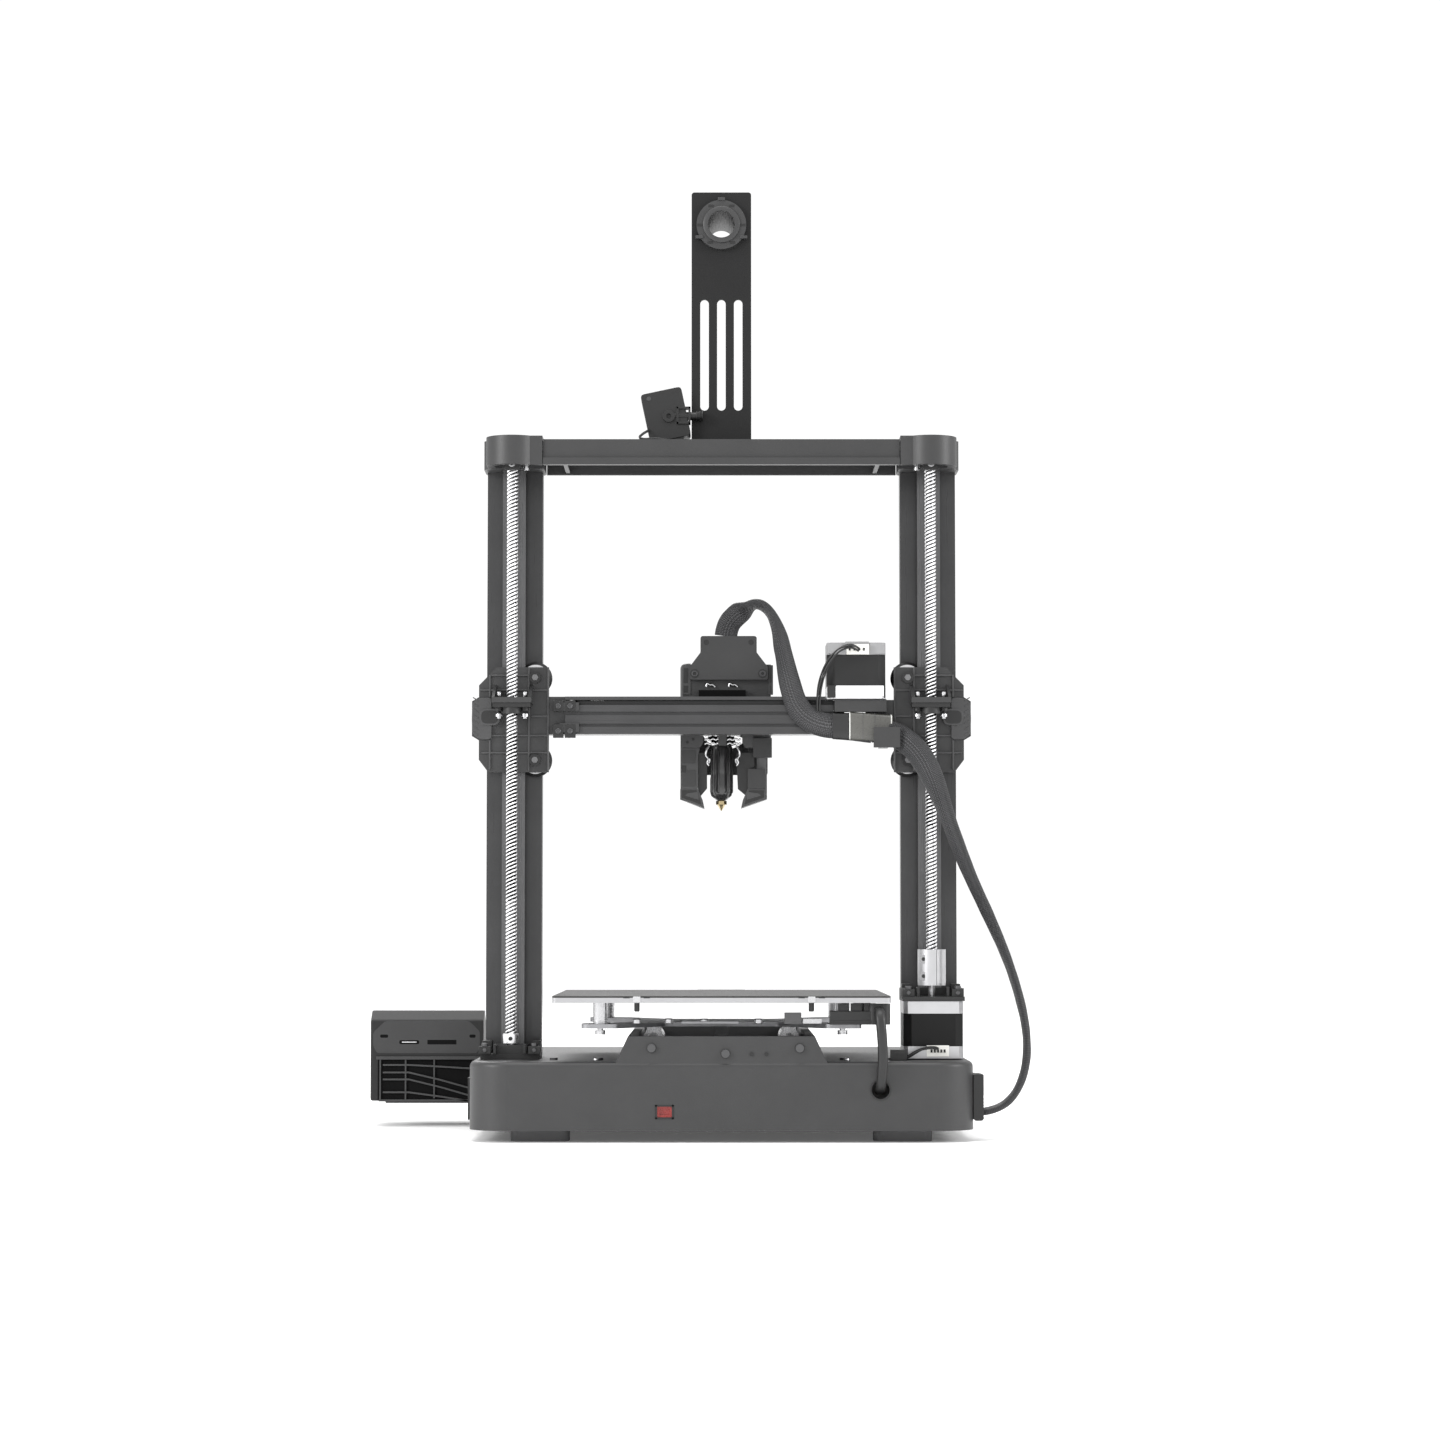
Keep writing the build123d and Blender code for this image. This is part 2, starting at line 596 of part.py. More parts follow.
def make_gantry():
    with BuildPart() as carriages:
        for side in (-1, 1):
            z_carriage(side)
    save(carriages, "z_carriages")

    with BuildPart() as nuts:
        for side in (-1, 1):
            x = side * UPRIGHT_X
            slab((x - 13.5, x + 13.5), (SCREW_Y - 7.5, SCREW_Y + 7.5), (305.5, 308.7))
            disc((x, SCREW_Y, 303.2), UP, 4.6, 7)
            for step in (-9.2, 9.2):
                disc((x + step, SCREW_Y, 304.3), UP, 2.4, 2.8)
                disc((x + step, SCREW_Y, 309.8), UP, 8.6, 1.5)
            disc((x, SCREW_Y, 305), UP, 12, SCREW_R + RUNNING, Mode.SUBTRACT)
    save(nuts, "z_nuts")

    with BuildPart() as beam:
        x_beam()
    save(beam, "x_beam")

    with BuildPart() as drive:
        motor(XMOTOR_X, XMOTOR_Y, 312.3, False)
        disc((XMOTOR_X, XMOTOR_Y, 320), UP, 20, 2.6, Mode.SUBTRACT)
        slab((XMOTOR_X - 9, XMOTOR_X + 7), (34, 38), (343.6, 350))
    save(drive, "x_motor")

    with BuildPart() as pulley:
        disc((XMOTOR_X, XMOTOR_Y, 308.3), UP, 7.4, PULLEY_PITCH_R - 0.3)
        disc((XMOTOR_X, XMOTOR_Y, 318), UP, 22, 2.5)
    save(pulley, "x_pulley")

    with BuildPart() as belt:
        end = 100.0
        with BuildSketch(Plane.XY.offset(BELT_LOW)):
            with Locations(((XMOTOR_X + end) / 2, XMOTOR_Y)):
                SlotCenterToCenter(end - XMOTOR_X, 2 * (PULLEY_PITCH_R + 1.6))
                SlotCenterToCenter(end - XMOTOR_X, 2 * (PULLEY_PITCH_R + 0.2), mode=Mode.SUBTRACT)
        extrude(amount=BELT_HIGH - BELT_LOW)
    save(belt, "x_belt")

    with BuildPart() as clamp:
        slab((-127.4, -108.5), (36.6, 38.6), (277, 291.6))
        slab((-119, -112.5), (PLATE_BACK, 38.6), (277, 279.4))
        slab((-119, -112.5), (PLATE_BACK, 23.2), (279.4, 292))
    save(clamp, "harness_clamp")

    with BuildPart() as wheels:
        for side in (-1, 1):
            spots = [(-side * INNER_WHEEL, -WHEEL_PITCH / 2), (-side * INNER_WHEEL, WHEEL_PITCH / 2),
                     (side * OUTER_WHEEL, 0)]
            for dx, dz in spots:
                wheel(side * UPRIGHT_X + dx, GANTRY_Z + dz)
    save(wheels, "z_wheels")


def wheel(x, z):
    """A V-rimmed wheel on its own bolt, turning about an axis along Y."""
    disc((x, RAIL_MID, z), ALONG_Y, 9, 9.0)
    with Locations(Location((x, RAIL_MID - 2.25, z), ALONG_Y)):
        Cone(WHEEL_R - 0.1, 9.0, 3.5)
    with Locations(Location((x, RAIL_MID + 2.25, z), ALONG_Y)):
        Cone(9.0, WHEEL_R - 0.1, 3.5)
    disc((x, RAIL_MID, z), ALONG_Y, 1.0, WHEEL_R - 0.1)
    disc((x, 13.2, z), ALONG_Y, 17, 2.5)
    disc((x, 22.6, z), ALONG_Y, 3.4, 4.2)


def z_carriage(side):
    """Ribbed plate behind an upright, with a nut shelf and an arm to the X beam."""
    x = side * UPRIGHT_X
    out = side
    outline = [(-25.5, 260.1), (18, 260.1), (24.7, 269), (24.7, 283), (29.7, 286), (29.7, 311),
               (24.7, 314), (24.7, 322.5), (12, 335.5), (-25.5, 335.5)]
    profile_y([(x + out * dx, z) for dx, z in outline], (PLATE_FRONT, PLATE_BACK))
    slab((x - 14, x + 14), (PLATE_BACK - 0.1, 46.5), (308.7, 312.5))
    for dx in (-13, 13):
        profile_x([(PLATE_BACK - 0.1, 312.6), (46.5, 312.6), (PLATE_BACK - 0.1, 323)],
                  (x + dx - 1, x + dx + 1))
    inner = x - out * 21.4
    beam_end = out * (XBEAM_HALF - 10)
    arm_top = XBEAM_TOP if out > 0 else 312.0
    slab(sorted((inner, out * XBEAM_HALF)), (XBEAM_FRONT, PLATE_BACK), (XBEAM_LOW, arm_top))
    for z in ((304, 310), (288.5, 295)):
        if out > 0:
            slab((beam_end, XBEAM_HALF + 4), (XBEAM_BACK, XBEAM_BACK + 2.2), z)
            slab((XBEAM_HALF, XBEAM_HALF + 4), (PLATE_BACK - 0.2, XBEAM_BACK + 2.2), z)
    disc((x, SCREW_Y, 310), UP, 10, 5.6, Mode.SUBTRACT)
    for dx in (-9.2, 9.2):
        disc((x + dx, SCREW_Y, 310), UP, 10, 1.6, Mode.SUBTRACT)
    for dx, dz in ((-out * INNER_WHEEL, -WHEEL_PITCH / 2), (-out * INNER_WHEEL, WHEEL_PITCH / 2),
                   (out * OUTER_WHEEL, 0)):
        disc((x + dx, 20, GANTRY_Z + dz), ALONG_Y, 14, 2.5, Mode.SUBTRACT)
    if side < 0:
        slab((-XBEAM_HALF - 1, XMOTOR_X + 15.5), (XBEAM_FRONT + 0.2, 31), (303, 312))
        slab((-XBEAM_HALF - 1, XMOTOR_X + 4.4), (-5, XBEAM_FRONT + 0.3), (308.2, 312))
        slab((-XBEAM_HALF - 6, -XBEAM_HALF), (XBEAM_FRONT, 31), (303, 312))
        disc((XMOTOR_X, XMOTOR_Y, 308), UP, 12, 12.4, Mode.SUBTRACT)
        slab((XMOTOR_X, -70), (XMOTOR_Y - 10, XMOTOR_Y + 9), (304.5, 312.2), Mode.SUBTRACT)


def x_beam():
    """Extruded beam with rear grooves, belt channels and a front guide rib."""
    low, top, front, back = XBEAM_LOW, XBEAM_TOP, XBEAM_FRONT, XBEAM_BACK
    slab((-XBEAM_HALF, XBEAM_HALF), (front, back), (low, top))
    slab((-XBEAM_HALF + 8, XBEAM_HALF - 8), (front - 5.4, front), (294, 302))
    for z in ((301, 303.4), (292.6, 294.8)):
        slab((-130, 130), (back - 2.4, back + 1), z, Mode.SUBTRACT)
    for y in ((XMOTOR_Y + 4, XMOTOR_Y + 9), (XMOTOR_Y - 9, XMOTOR_Y - 4)):
        slab((-130, 130), y, (BELT_LOW - 0.8, BELT_HIGH + 0.8), Mode.SUBTRACT)
    slab((-130, 130), (back - 2, back + 1), (308.3, 311.9), Mode.SUBTRACT)
    slab((-130, 130), (front - 1, front + 2), (308.3, 311.9), Mode.SUBTRACT)
    slab((84, 109), (XMOTOR_Y - 9, XMOTOR_Y + 9), (BELT_LOW - 0.8, BELT_HIGH + 0.8), Mode.SUBTRACT)
    disc((100, XMOTOR_Y, 308.3), UP, 7.7, PULLEY_PITCH_R - 0.3)
    slab((-131, -80.6), (front - 1, back + 1), (302.7, top + 1), Mode.SUBTRACT)
    slab((-81, -74.9), (front - 1, back + 1), (312, top + 1), Mode.SUBTRACT)


def make_toolhead():
    with BuildPart() as carriage:
        slab((-36, 28), (-18, HEAD_PLATE_BACK), (290, SHROUD_TOP - 1.5))
        slab((-24, 14), (-18, HEAD_PLATE_BACK), (SHROUD_TOP - 2, 352))
        slab((-17, 17), (HEAD_PLATE_BACK, -10), (289.5, 321))
        slab((-17, 17), (-10.1, -4), (289.5, 307.5))
        slab((-17, 17), (-4.1, 2.6), (289.5, 306.5))
        slab((-18, 18), (-2.9, 3), (293.6, 302.4), Mode.SUBTRACT)
        slab((-4, 4), (-10.1, 5.0), (308.9, 311.4))
        slab((-8, 8), (-10.1, -6), (300, 310))
        slab((-17.6, 16.5), (-14.6, -8.7), (315, 321))
    save(carriage, "x_carriage")

    with BuildPart() as cover:
        outline = [(15.2, COVER_TOP), (15.2, 348.4), (23.2, 337.8), (23.2, 328.6), (-33.8, 328.6),
                   (-33.8, 337.8), (-25.7, 348.4), (-25.7, COVER_TOP)]
        profile_y(outline, (-14.4, -8.8))
        fillet(cover.edges().filter_by(Axis.Y), 1.8)
        slab((-14, 7), (-13.6, -10), (350, COVER_TOP + 1), Mode.SUBTRACT)
    save(cover, "cable_cover")

    with BuildPart() as shroud:
        x0, x1 = -34.0, 30.0
        with BuildSketch(Plane.XY.offset(SHROUD_LOW)):
            with Locations(((x0 + x1) / 2, -49)):
                RectangleRounded(x1 - x0, 61, 7)
        extrude(amount=SHROUD_TOP - SHROUD_LOW)
        fillet(shroud.faces().sort_by(Axis.Z)[-1].edges(), 4)
        slab((x0 + 2, x1 - 2), (-77.5, -17.5), (250, SHROUD_TOP - 2), Mode.SUBTRACT)
        slab((-26.5, 22.5), (-56.5, -17.5), (SHROUD_TOP - 3, SHROUD_TOP + 1), Mode.SUBTRACT)
        slab((x0 - 1, x1 + 1), (-19, -10), (250, 360), Mode.SUBTRACT)
        disc((HEAD_MID + 2, -79, 300), ALONG_Y, 8, 18.8, Mode.SUBTRACT)
        slab((x1 - 4, x1 + 1), (-40, -19), (262, 300), Mode.SUBTRACT)
        slab((x0 - 1, x0 + 4), (-42, -19), (258, 303), Mode.SUBTRACT)
        profile_y([(30, 292), (30, 243), (12.4, 236), (13.6, 241.5), (17.5, 249), (18, 292)],
                  (-62, -44))
        profile_y([(-33.5, 292), (-33.5, 243), (-14.6, 236.4), (-16, 241.5), (-19.5, 249), (-20, 292)],
                  (-62, -44))
    save(shroud, "toolhead_shroud")

    with BuildPart() as sink:
        slab((-11, 11), (NOZZLE_Y - 11, NOZZLE_Y + 11), (284, 310))
        for z in (286.5, 290.5, 294.5, 298.5, 302.5):
            slab((-12, -4), (NOZZLE_Y - 12, NOZZLE_Y + 12), (z, z + 2), Mode.SUBTRACT)
            slab((4, 12), (NOZZLE_Y - 12, NOZZLE_Y + 12), (z, z + 2), Mode.SUBTRACT)
        disc((0, NOZZLE_Y, 272), UP, 24, 3.5)
    with BuildPart() as block:
        with BuildSketch(Plane.XY.offset(243.5)):
            with Locations((0, NOZZLE_Y)):
                RectangleRounded(15.5, 20, 4)
        extrude(amount=16.5)
    with BuildPart() as nozzle:
        with BuildSketch(Plane.XY.offset(239.5)):
            with Locations((0, NOZZLE_Y)):
                RegularPolygon(4, 6)
        extrude(amount=4)
        with Locations((0, NOZZLE_Y, (239.5 + NOZZLE_TIP) / 2)):
            Cone(0.6, 3.2, 239.5 - NOZZLE_TIP)
    group = Compound(children=[p.part.moved(TO_ORIGIN) for p in (sink, block, nozzle)])
    group.label = "hotend"
    export_step(group, "parts/hotend.step")

    with BuildPart() as drive:
        slab((-26, 22), (-56, -38), (310, 349))
        slab((-20, 18), (-54, -40), (314, 350), Mode.SUBTRACT)
        slab((CASE_SIDE, 23), (-57, -37), (338.5, 350), Mode.SUBTRACT)
        disc((0, NOZZLE_Y, 312), UP, 8, 1.2, Mode.SUBTRACT)
    with BuildPart() as engine:
        disc((-6, -28.6, 331), ALONG_Y, 18.6, 17.5)
        disc((-6, -38, 331), ALONG_Y, 10, 2.6, Mode.SUBTRACT)
    with BuildPart() as roof:
        slab((-26, CASE_SIDE), (-56, -38), (349.1, 351.5))
        disc((0, NOZZLE_Y, 350), UP, 6, 1.2, Mode.SUBTRACT)
    case = drive.part - Cylinder(2.6, 12).moved(Location((-6, -38, 331), ALONG_Y))
    group = Compound(children=[p.moved(TO_ORIGIN) for p in (case, engine.part, roof.part)])
    group.label = "extruder"
    export_step(group, "parts/extruder.step")

    with BuildPart() as gear:
        disc((-6, -46.5, 331), ALONG_Y, 10, 4.6)
        disc((-6, -41, 331), ALONG_Y, 14, 2.5)
        with Locations(Location((-6, -46.5, 331), ALONG_Y)):
            with PolarLocations(4.7, 16):
                Box(1.0, 0.9, 10)
    save(gear, "drive_gear")

    with BuildPart() as lever:
        disc((8, -47, 331), ALONG_Y, 10, 5)
        slab((8, 14), (-52, -42), (318, 345))
        disc((11, -47, 318), ALONG_Y, 10, 3)
        disc((11, -47, 318), ALONG_Y, 30, 1.5, Mode.SUBTRACT)
    save(lever, "feed_lever")

    with BuildPart() as fan:
        fan_wheel((HEAD_MID + 2, -72.4, 300), ALONG_Y, 17.5, 7, 7)
    save(fan, "hotend_fan_rotor")

    with BuildPart() as blower:
        fan_wheel((-29.4, -56, 312), ALONG_X, 12, 4.4, 12)
    save(blower, "blower_rotor")

    with BuildPart() as probe:
        slab((-36.2, -23.4), (-40, -26), (273, 289.5))
        slab((-33, -26), (-37, -29), (246, 273))
        slab((-33, -27), (-36, -18), (289.5, 300))
        disc((-29.5, -33, 262), UP, 34, 1.3, Mode.SUBTRACT)
    save(probe, "probe")

    with BuildPart() as pin:
        disc((-29.5, -33, 256), UP, 26, 1.2)
    save(pin, "probe_pin")


def make_small_parts():
    with BuildPart() as block:
        slab((-183.4, -BASE_HALF), (44, 72), (14, 46.6))
        fillet(block.edges().filter_by(Axis.Y), 2)
    save(block, "harness_connector")

    with BuildPart() as screws:
        for x, z in ((48.6, 65.5), (-54.4, 65.4), (-2.8, 61.6)):
            disc((x, BASE_REAR + 0.9, z), ALONG_Y, 1.8, 2.9)
        for side in (-1, 1):
            for x in (86, 118):
                disc((side * x, 58, SHOULDER + 0.8), UP, 1.6, 2.8)
            disc((side * 14, 15, BEAM_TOP + 3.3), UP, 1.6, 3.2)
    save(screws, "frame_screws")


# The flat harness sleeve is held here as a round core of this radius
HARNESS_R = 4.5

# Routes of the cords, from the piece that each leaves to the piece that it enters
HARNESS_UPPER = [(-3.3, -11.8, 360.5), (-4.2, -11, 368.6), (-12, -6.5, 376.5), (-22.5, -0.5, 383.5),
                 (-33, 6.5, 380), (-40, 15, 366), (-44.5, 23, 346), (-48.5, 27.5, 324),
                 (-55, 28, 303.5), (-69, 28, 293.5), (-89, 28, 292.4), (-108, 28, 290)]
HARNESS_LOWER = [(-108.6, 28, 290), (-124, 28.6, 288), (-138, 38.5, 277), (-148, 52, 259.5),
                 (-156, 55, 238), (-164.5, 56.5, 213), (-175, 57.5, 186), (-188, 58, 158),
                 (-200, 58, 131), (-209, 58, 104), (-215, 58, 77), (-215, 58, 53),
                 (-208, 58, 33), (-195.5, 58, 21.5), (-184.2, 58, 19.8)]
BED_CABLE = [(-109.6, 92.5, 90.5), (-109.6, 98.2, 90.5), (-109.8, 102.6, 87.6),
             (-110.4, 104.6, 80.5), (-111.2, 104.6, 71), (-111.6, 103.8, 60), (-111.3, 102.2, 49.5),
             (-110.7, 98.2, 41.5), (-110.4, 92, 37.6), (-110.4, 84.5, 36.4)]
X_LEADS = [(-97.5, 39.1, 347), (-96, 42, 348.2), (-90.5, 44.5, 349.5), (-82, 43, 345.5),
           (-75, 39.5, 336), (-70.5, 35.5, 323.5), (-69.2, 31.5, 311), (-69.6, 29.5, 303.4)]
SENSOR_LEAD = [(52, 18.6, 507), (53, 22, 506.2), (57, 25.5, 503.2), (59.5, 29.5, 499.9),
               (54.5, 33, 498.7), (46.5, 34.6, 499), (39.5, 34, 498.2)]
Z_LEAD = [(-152, 59.6, 64), (-150.5, 64, 64.6), (-146, 67.5, 65), (-140, 69, 64),
          (-135, 68.8, 61.2), (-130.5, 68, 58.1),
          (-124.2, 67.4, 57.6)]


def make_cords():
    save(cord_tube(HARNESS_UPPER, HARNESS_R), "harness_upper")
    save(cord_tube(HARNESS_LOWER, HARNESS_R), "harness_lower")
    save(cord_tube(BED_CABLE, 3.4), "bed_cable")
    save(cord_tube(X_LEADS, 1.9), "x_motor_leads")
    pair = [cord_tube(SENSOR_LEAD, 1.1), cord_tube(Z_LEAD, 1.2)]
    with BuildPart() as leads:
        for lead in pair:
            add(lead.part)
    save(leads, "frame_leads")


os.makedirs("parts", exist_ok=True)
make_base()
make_frame()
make_sensor()
make_screws()
make_bed_pulley()
make_electrics()
make_bed()
make_display()
make_gantry()
make_toolhead()
make_small_parts()
make_cords()
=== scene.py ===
import math

import bmesh
import bpy
from mathutils import Matrix, Vector


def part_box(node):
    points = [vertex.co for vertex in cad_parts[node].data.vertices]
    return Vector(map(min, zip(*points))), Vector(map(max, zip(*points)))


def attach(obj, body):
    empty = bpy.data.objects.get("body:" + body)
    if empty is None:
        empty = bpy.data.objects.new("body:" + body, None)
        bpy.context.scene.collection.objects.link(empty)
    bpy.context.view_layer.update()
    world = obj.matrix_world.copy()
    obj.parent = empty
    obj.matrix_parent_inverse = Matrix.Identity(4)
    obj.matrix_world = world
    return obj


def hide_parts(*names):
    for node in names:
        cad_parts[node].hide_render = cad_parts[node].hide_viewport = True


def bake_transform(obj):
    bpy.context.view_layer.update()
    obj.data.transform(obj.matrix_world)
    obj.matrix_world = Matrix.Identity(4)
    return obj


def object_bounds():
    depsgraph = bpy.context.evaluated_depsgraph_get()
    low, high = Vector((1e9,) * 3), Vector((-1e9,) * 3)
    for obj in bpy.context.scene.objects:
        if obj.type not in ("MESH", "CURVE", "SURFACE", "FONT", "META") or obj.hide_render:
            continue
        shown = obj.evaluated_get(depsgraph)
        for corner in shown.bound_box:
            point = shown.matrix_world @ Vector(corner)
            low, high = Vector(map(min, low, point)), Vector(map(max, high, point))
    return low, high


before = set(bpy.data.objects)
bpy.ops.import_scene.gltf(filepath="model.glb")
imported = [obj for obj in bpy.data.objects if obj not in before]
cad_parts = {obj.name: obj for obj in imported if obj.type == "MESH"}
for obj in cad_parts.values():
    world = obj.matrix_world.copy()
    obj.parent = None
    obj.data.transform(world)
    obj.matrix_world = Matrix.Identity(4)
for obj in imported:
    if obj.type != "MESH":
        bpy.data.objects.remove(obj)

CAD_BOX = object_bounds()
MM = 0.001

# The machine's own centre: the uprights stand evenly about it, and their rails end behind it
RAIL_BACK = 16
UPRIGHT_HALF = 20
UPRIGHTS_LOW, UPRIGHTS_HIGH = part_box("uprights")
CENTRE_X = (UPRIGHTS_LOW.x + UPRIGHTS_HIGH.x) / 2
CENTRE_Y = UPRIGHTS_HIGH.y - RAIL_BACK * MM
UPRIGHT_X = (UPRIGHTS_HIGH.x - CENTRE_X) / MM - UPRIGHT_HALF
SCREW_Y = 38.0


def at(x, y, z):
    """A point given in millimetres from the machine's centre, in the frame's metres."""
    return Vector((x * MM + CENTRE_X, y * MM + CENTRE_Y, z * MM))


# ---------------------------------------------------------------- materials

def material(name):
    made = bpy.data.materials.new(name)
    made.use_nodes = True
    return made, made.node_tree, made.node_tree.nodes["Principled BSDF"]


def noise(tree, scale, detail=4.0, rough=0.6, stretch=None):
    """A noise texture in object space, scale in features per metre."""
    place = tree.nodes.new("ShaderNodeTexCoord")
    source = place.outputs["Object"]
    if stretch:
        squeeze = tree.nodes.new("ShaderNodeMapping")
        squeeze.inputs["Scale"].default_value = stretch
        tree.links.new(source, squeeze.inputs["Vector"])
        source = squeeze.outputs["Vector"]
    grain = tree.nodes.new("ShaderNodeTexNoise")
    grain.inputs["Scale"].default_value = scale
    grain.inputs["Detail"].default_value = detail
    grain.inputs["Roughness"].default_value = rough
    tree.links.new(source, grain.inputs["Vector"])
    return grain.outputs["Fac"]


def spread(tree, source, low, high, start=0.3, stop=0.7):
    """Map a texture's value to a range of numbers."""
    ramp = tree.nodes.new("ShaderNodeMapRange")
    ramp.inputs["From Min"].default_value = start
    ramp.inputs["From Max"].default_value = stop
    ramp.inputs["To Min"].default_value = low
    ramp.inputs["To Max"].default_value = high
    tree.links.new(source, ramp.inputs["Value"])
    return ramp.outputs["Result"]


def tint(tree, source, dark, light):
    """Mix two colours by a texture's value."""
    mix = tree.nodes.new("ShaderNodeMix")
    mix.data_type = "RGBA"
    mix.inputs["A"].default_value = (*dark, 1)
    mix.inputs["B"].default_value = (*light, 1)
    tree.links.new(spread(tree, source, 0, 1), mix.inputs["Factor"])
    return mix.outputs["Result"]


def bump(tree, shader, source, height, strength=1.0):
    """Raise the surface by a texture's value, height in metres."""
    lift = tree.nodes.new("ShaderNodeBump")
    lift.inputs["Distance"].default_value = height
    lift.inputs["Strength"].default_value = strength
    tree.links.new(source, lift.inputs["Height"])
    tree.links.new(lift.outputs["Normal"], shader.inputs["Normal"])


def around(colour, share):
    """A darker and a lighter shade either side of a colour."""
    return [c * (1 - share) for c in colour], [min(1, c * (1 + share)) for c in colour]


def surface(name, colour, rough, metal=0.0, vary=0.08, grain=900, height=0.00002,
            spot=35, stretch=None, specular=0.5, coat=0.0):
    """A general finish: large soft colour change, fine grain in roughness and relief."""
    made, tree, shader = material(name)
    cloud = noise(tree, spot, 3)
    tree.links.new(tint(tree, cloud, *around(colour, vary)), shader.inputs["Base Color"])
    fine = noise(tree, grain, 3, 0.6, stretch)
    tree.links.new(spread(tree, fine, rough - 0.07, rough + 0.07), shader.inputs["Roughness"])
    shader.inputs["Metallic"].default_value = metal
    shader.inputs["Specular IOR Level"].default_value = specular
    shader.inputs["Coat Weight"].default_value = coat
    bump(tree, shader, fine, height)
    return made


def grey(value):
    return (value, value, value * 1.02)


PLASTIC = surface("moulded_charcoal", grey(0.027), 0.46, grain=1600, height=0.00005)
PLASTIC_SIDE = surface("moulded_graphite", grey(0.024), 0.48, grain=1500, height=0.00004)
DISPLAY_PLASTIC = surface("display_plastic", grey(0.009), 0.42, grain=1500, height=0.00003,
                          specular=0.35)
SHROUD_AND_RIB_HIGHLIGHT = surface("shroud_graphite", grey(0.042), 0.44, grain=1500, height=0.00003)
DARK_PLASTIC = surface("moulded_black", grey(0.008), 0.45, grain=1400, height=0.00003)
GREY_PLASTIC = surface("moulded_mid_grey", grey(0.13), 0.5, grain=1400, height=0.00003)
WHITE_PLASTIC = surface("connector_white", (0.8, 0.79, 0.75), 0.42, vary=0.03)
ANODISED = surface("anodised_graphite", grey(0.05), 0.34, metal=0.5, grain=1200,
                   stretch=(1, 1, 0.02), height=0.00001)
ANODISED_X = surface("anodised_beam", grey(0.055), 0.34, metal=0.5, grain=1200,
                     stretch=(0.02, 1, 1), height=0.00001)
POWDER = surface("powder_coat", grey(0.026), 0.45, grain=1100, height=0.00006)
STEEL = surface("ground_steel", (0.62, 0.62, 0.63), 0.24, metal=1, vary=0.05, grain=2200,
                stretch=(1, 1, 0.05), height=0.000004)
SCREW_STEEL = surface("screw_steel", (0.56, 0.56, 0.57), 0.3, metal=1, vary=0.06)
# Steel of the thread's crest, lifted above plain steel as a painted highlight.
THREAD = surface("thread_steel_and_painted_highlight", (0.86, 0.86, 0.87), 0.26, metal=0.85, vary=0.04)
# The thread's root is steel like its crest; this near-black is painted shade in the groove.
THREAD_ROOT_SHADE = surface("thread_root_painted_shade", grey(0.004), 0.7, vary=0.1, specular=0.05)
DARK_SCREW = surface("black_oxide", (0.09, 0.09, 0.092), 0.34, metal=0.8, vary=0.1)
ALUMINIUM = surface("cast_aluminium", (0.5, 0.5, 0.51), 0.36, metal=0.9, vary=0.08, grain=900,
                    height=0.00003)
BRIGHT = surface("milled_aluminium", (0.74, 0.74, 0.75), 0.3, metal=0.9, vary=0.04, grain=1500,
                 stretch=(0.04, 1, 1), height=0.000006)
CARRIAGE_STEEL = surface("plated_sheet", (0.3, 0.3, 0.31), 0.4, metal=0.85, vary=0.08)
MOTOR_BLACK = surface("motor_stack", grey(0.016), 0.4, metal=0.4, grain=2500,
                      stretch=(0.02, 0.02, 1), height=0.00002)
BRASS = surface("brass", (0.5, 0.41, 0.24), 0.28, metal=1, vary=0.08)
RUBBER = surface("rubber", grey(0.12), 0.75, grain=1300, height=0.00005, specular=0.3)
BELT = surface("belt", grey(0.016), 0.65, grain=800, height=0.00004, specular=0.3)
CABLE = surface("cable_skin", grey(0.012), 0.45, grain=700, height=0.00003)
WHEEL = surface("wheel_pom", grey(0.014), 0.38, grain=900, height=0.00002)
SOCK = surface("silicone_sock", grey(0.03), 0.2, grain=500, height=0.00003, coat=0.5)
RED = surface("red_plastic", (0.3, 0.03, 0.025), 0.3, vary=0.06)
SCREEN = surface("screen_glass", (0.006, 0.006, 0.009), 0.08, vary=0.3, height=0.000001, coat=1)
LABEL = surface("label_film", (0.085, 0.084, 0.077), 0.3, vary=0.12, grain=500, height=0.00001)
MARK = surface("label_print", (0.75, 0.75, 0.72), 0.5, vary=0.05)
SHEET = surface("spring_sheet", (0.022, 0.021, 0.02), 0.62, grain=2600, height=0.00012)
SUPPLY = surface("perforated_supply", (0.5, 0.5, 0.5), 0.4, metal=0.9)
BOARD = surface("solder_mask", (0.01, 0.1, 0.045), 0.35, vary=0.15)
# A lighter copy of the uprights' anodising for the rail faces: a painted highlight along the rail.
RAIL_HIGHLIGHT = surface("anodised_rail_painted_highlight", grey(0.095), 0.3, metal=0.5, grain=1200,
                    stretch=(1, 1, 0.02), height=0.00001)
# Near-black with almost no sheen: painted shade for recesses, slots and the X carriage's upper rear faces.
PAINTED_SHADE = surface("shadowed_recess", grey(0.005), 0.6, grain=1200, height=0.00003, specular=0.05)
BRACKET_COAT = surface("bracket_coat", grey(0.009), 0.5, grain=1100, height=0.00006, specular=0.25)
MOTOR_DARK = surface("motor_enamel", grey(0.006), 0.45, grain=2500, height=0.00003, specular=0.2)
CAST = surface("cast_motor_cap", (0.28, 0.28, 0.285), 0.42, metal=0.2, grain=900, height=0.00004)
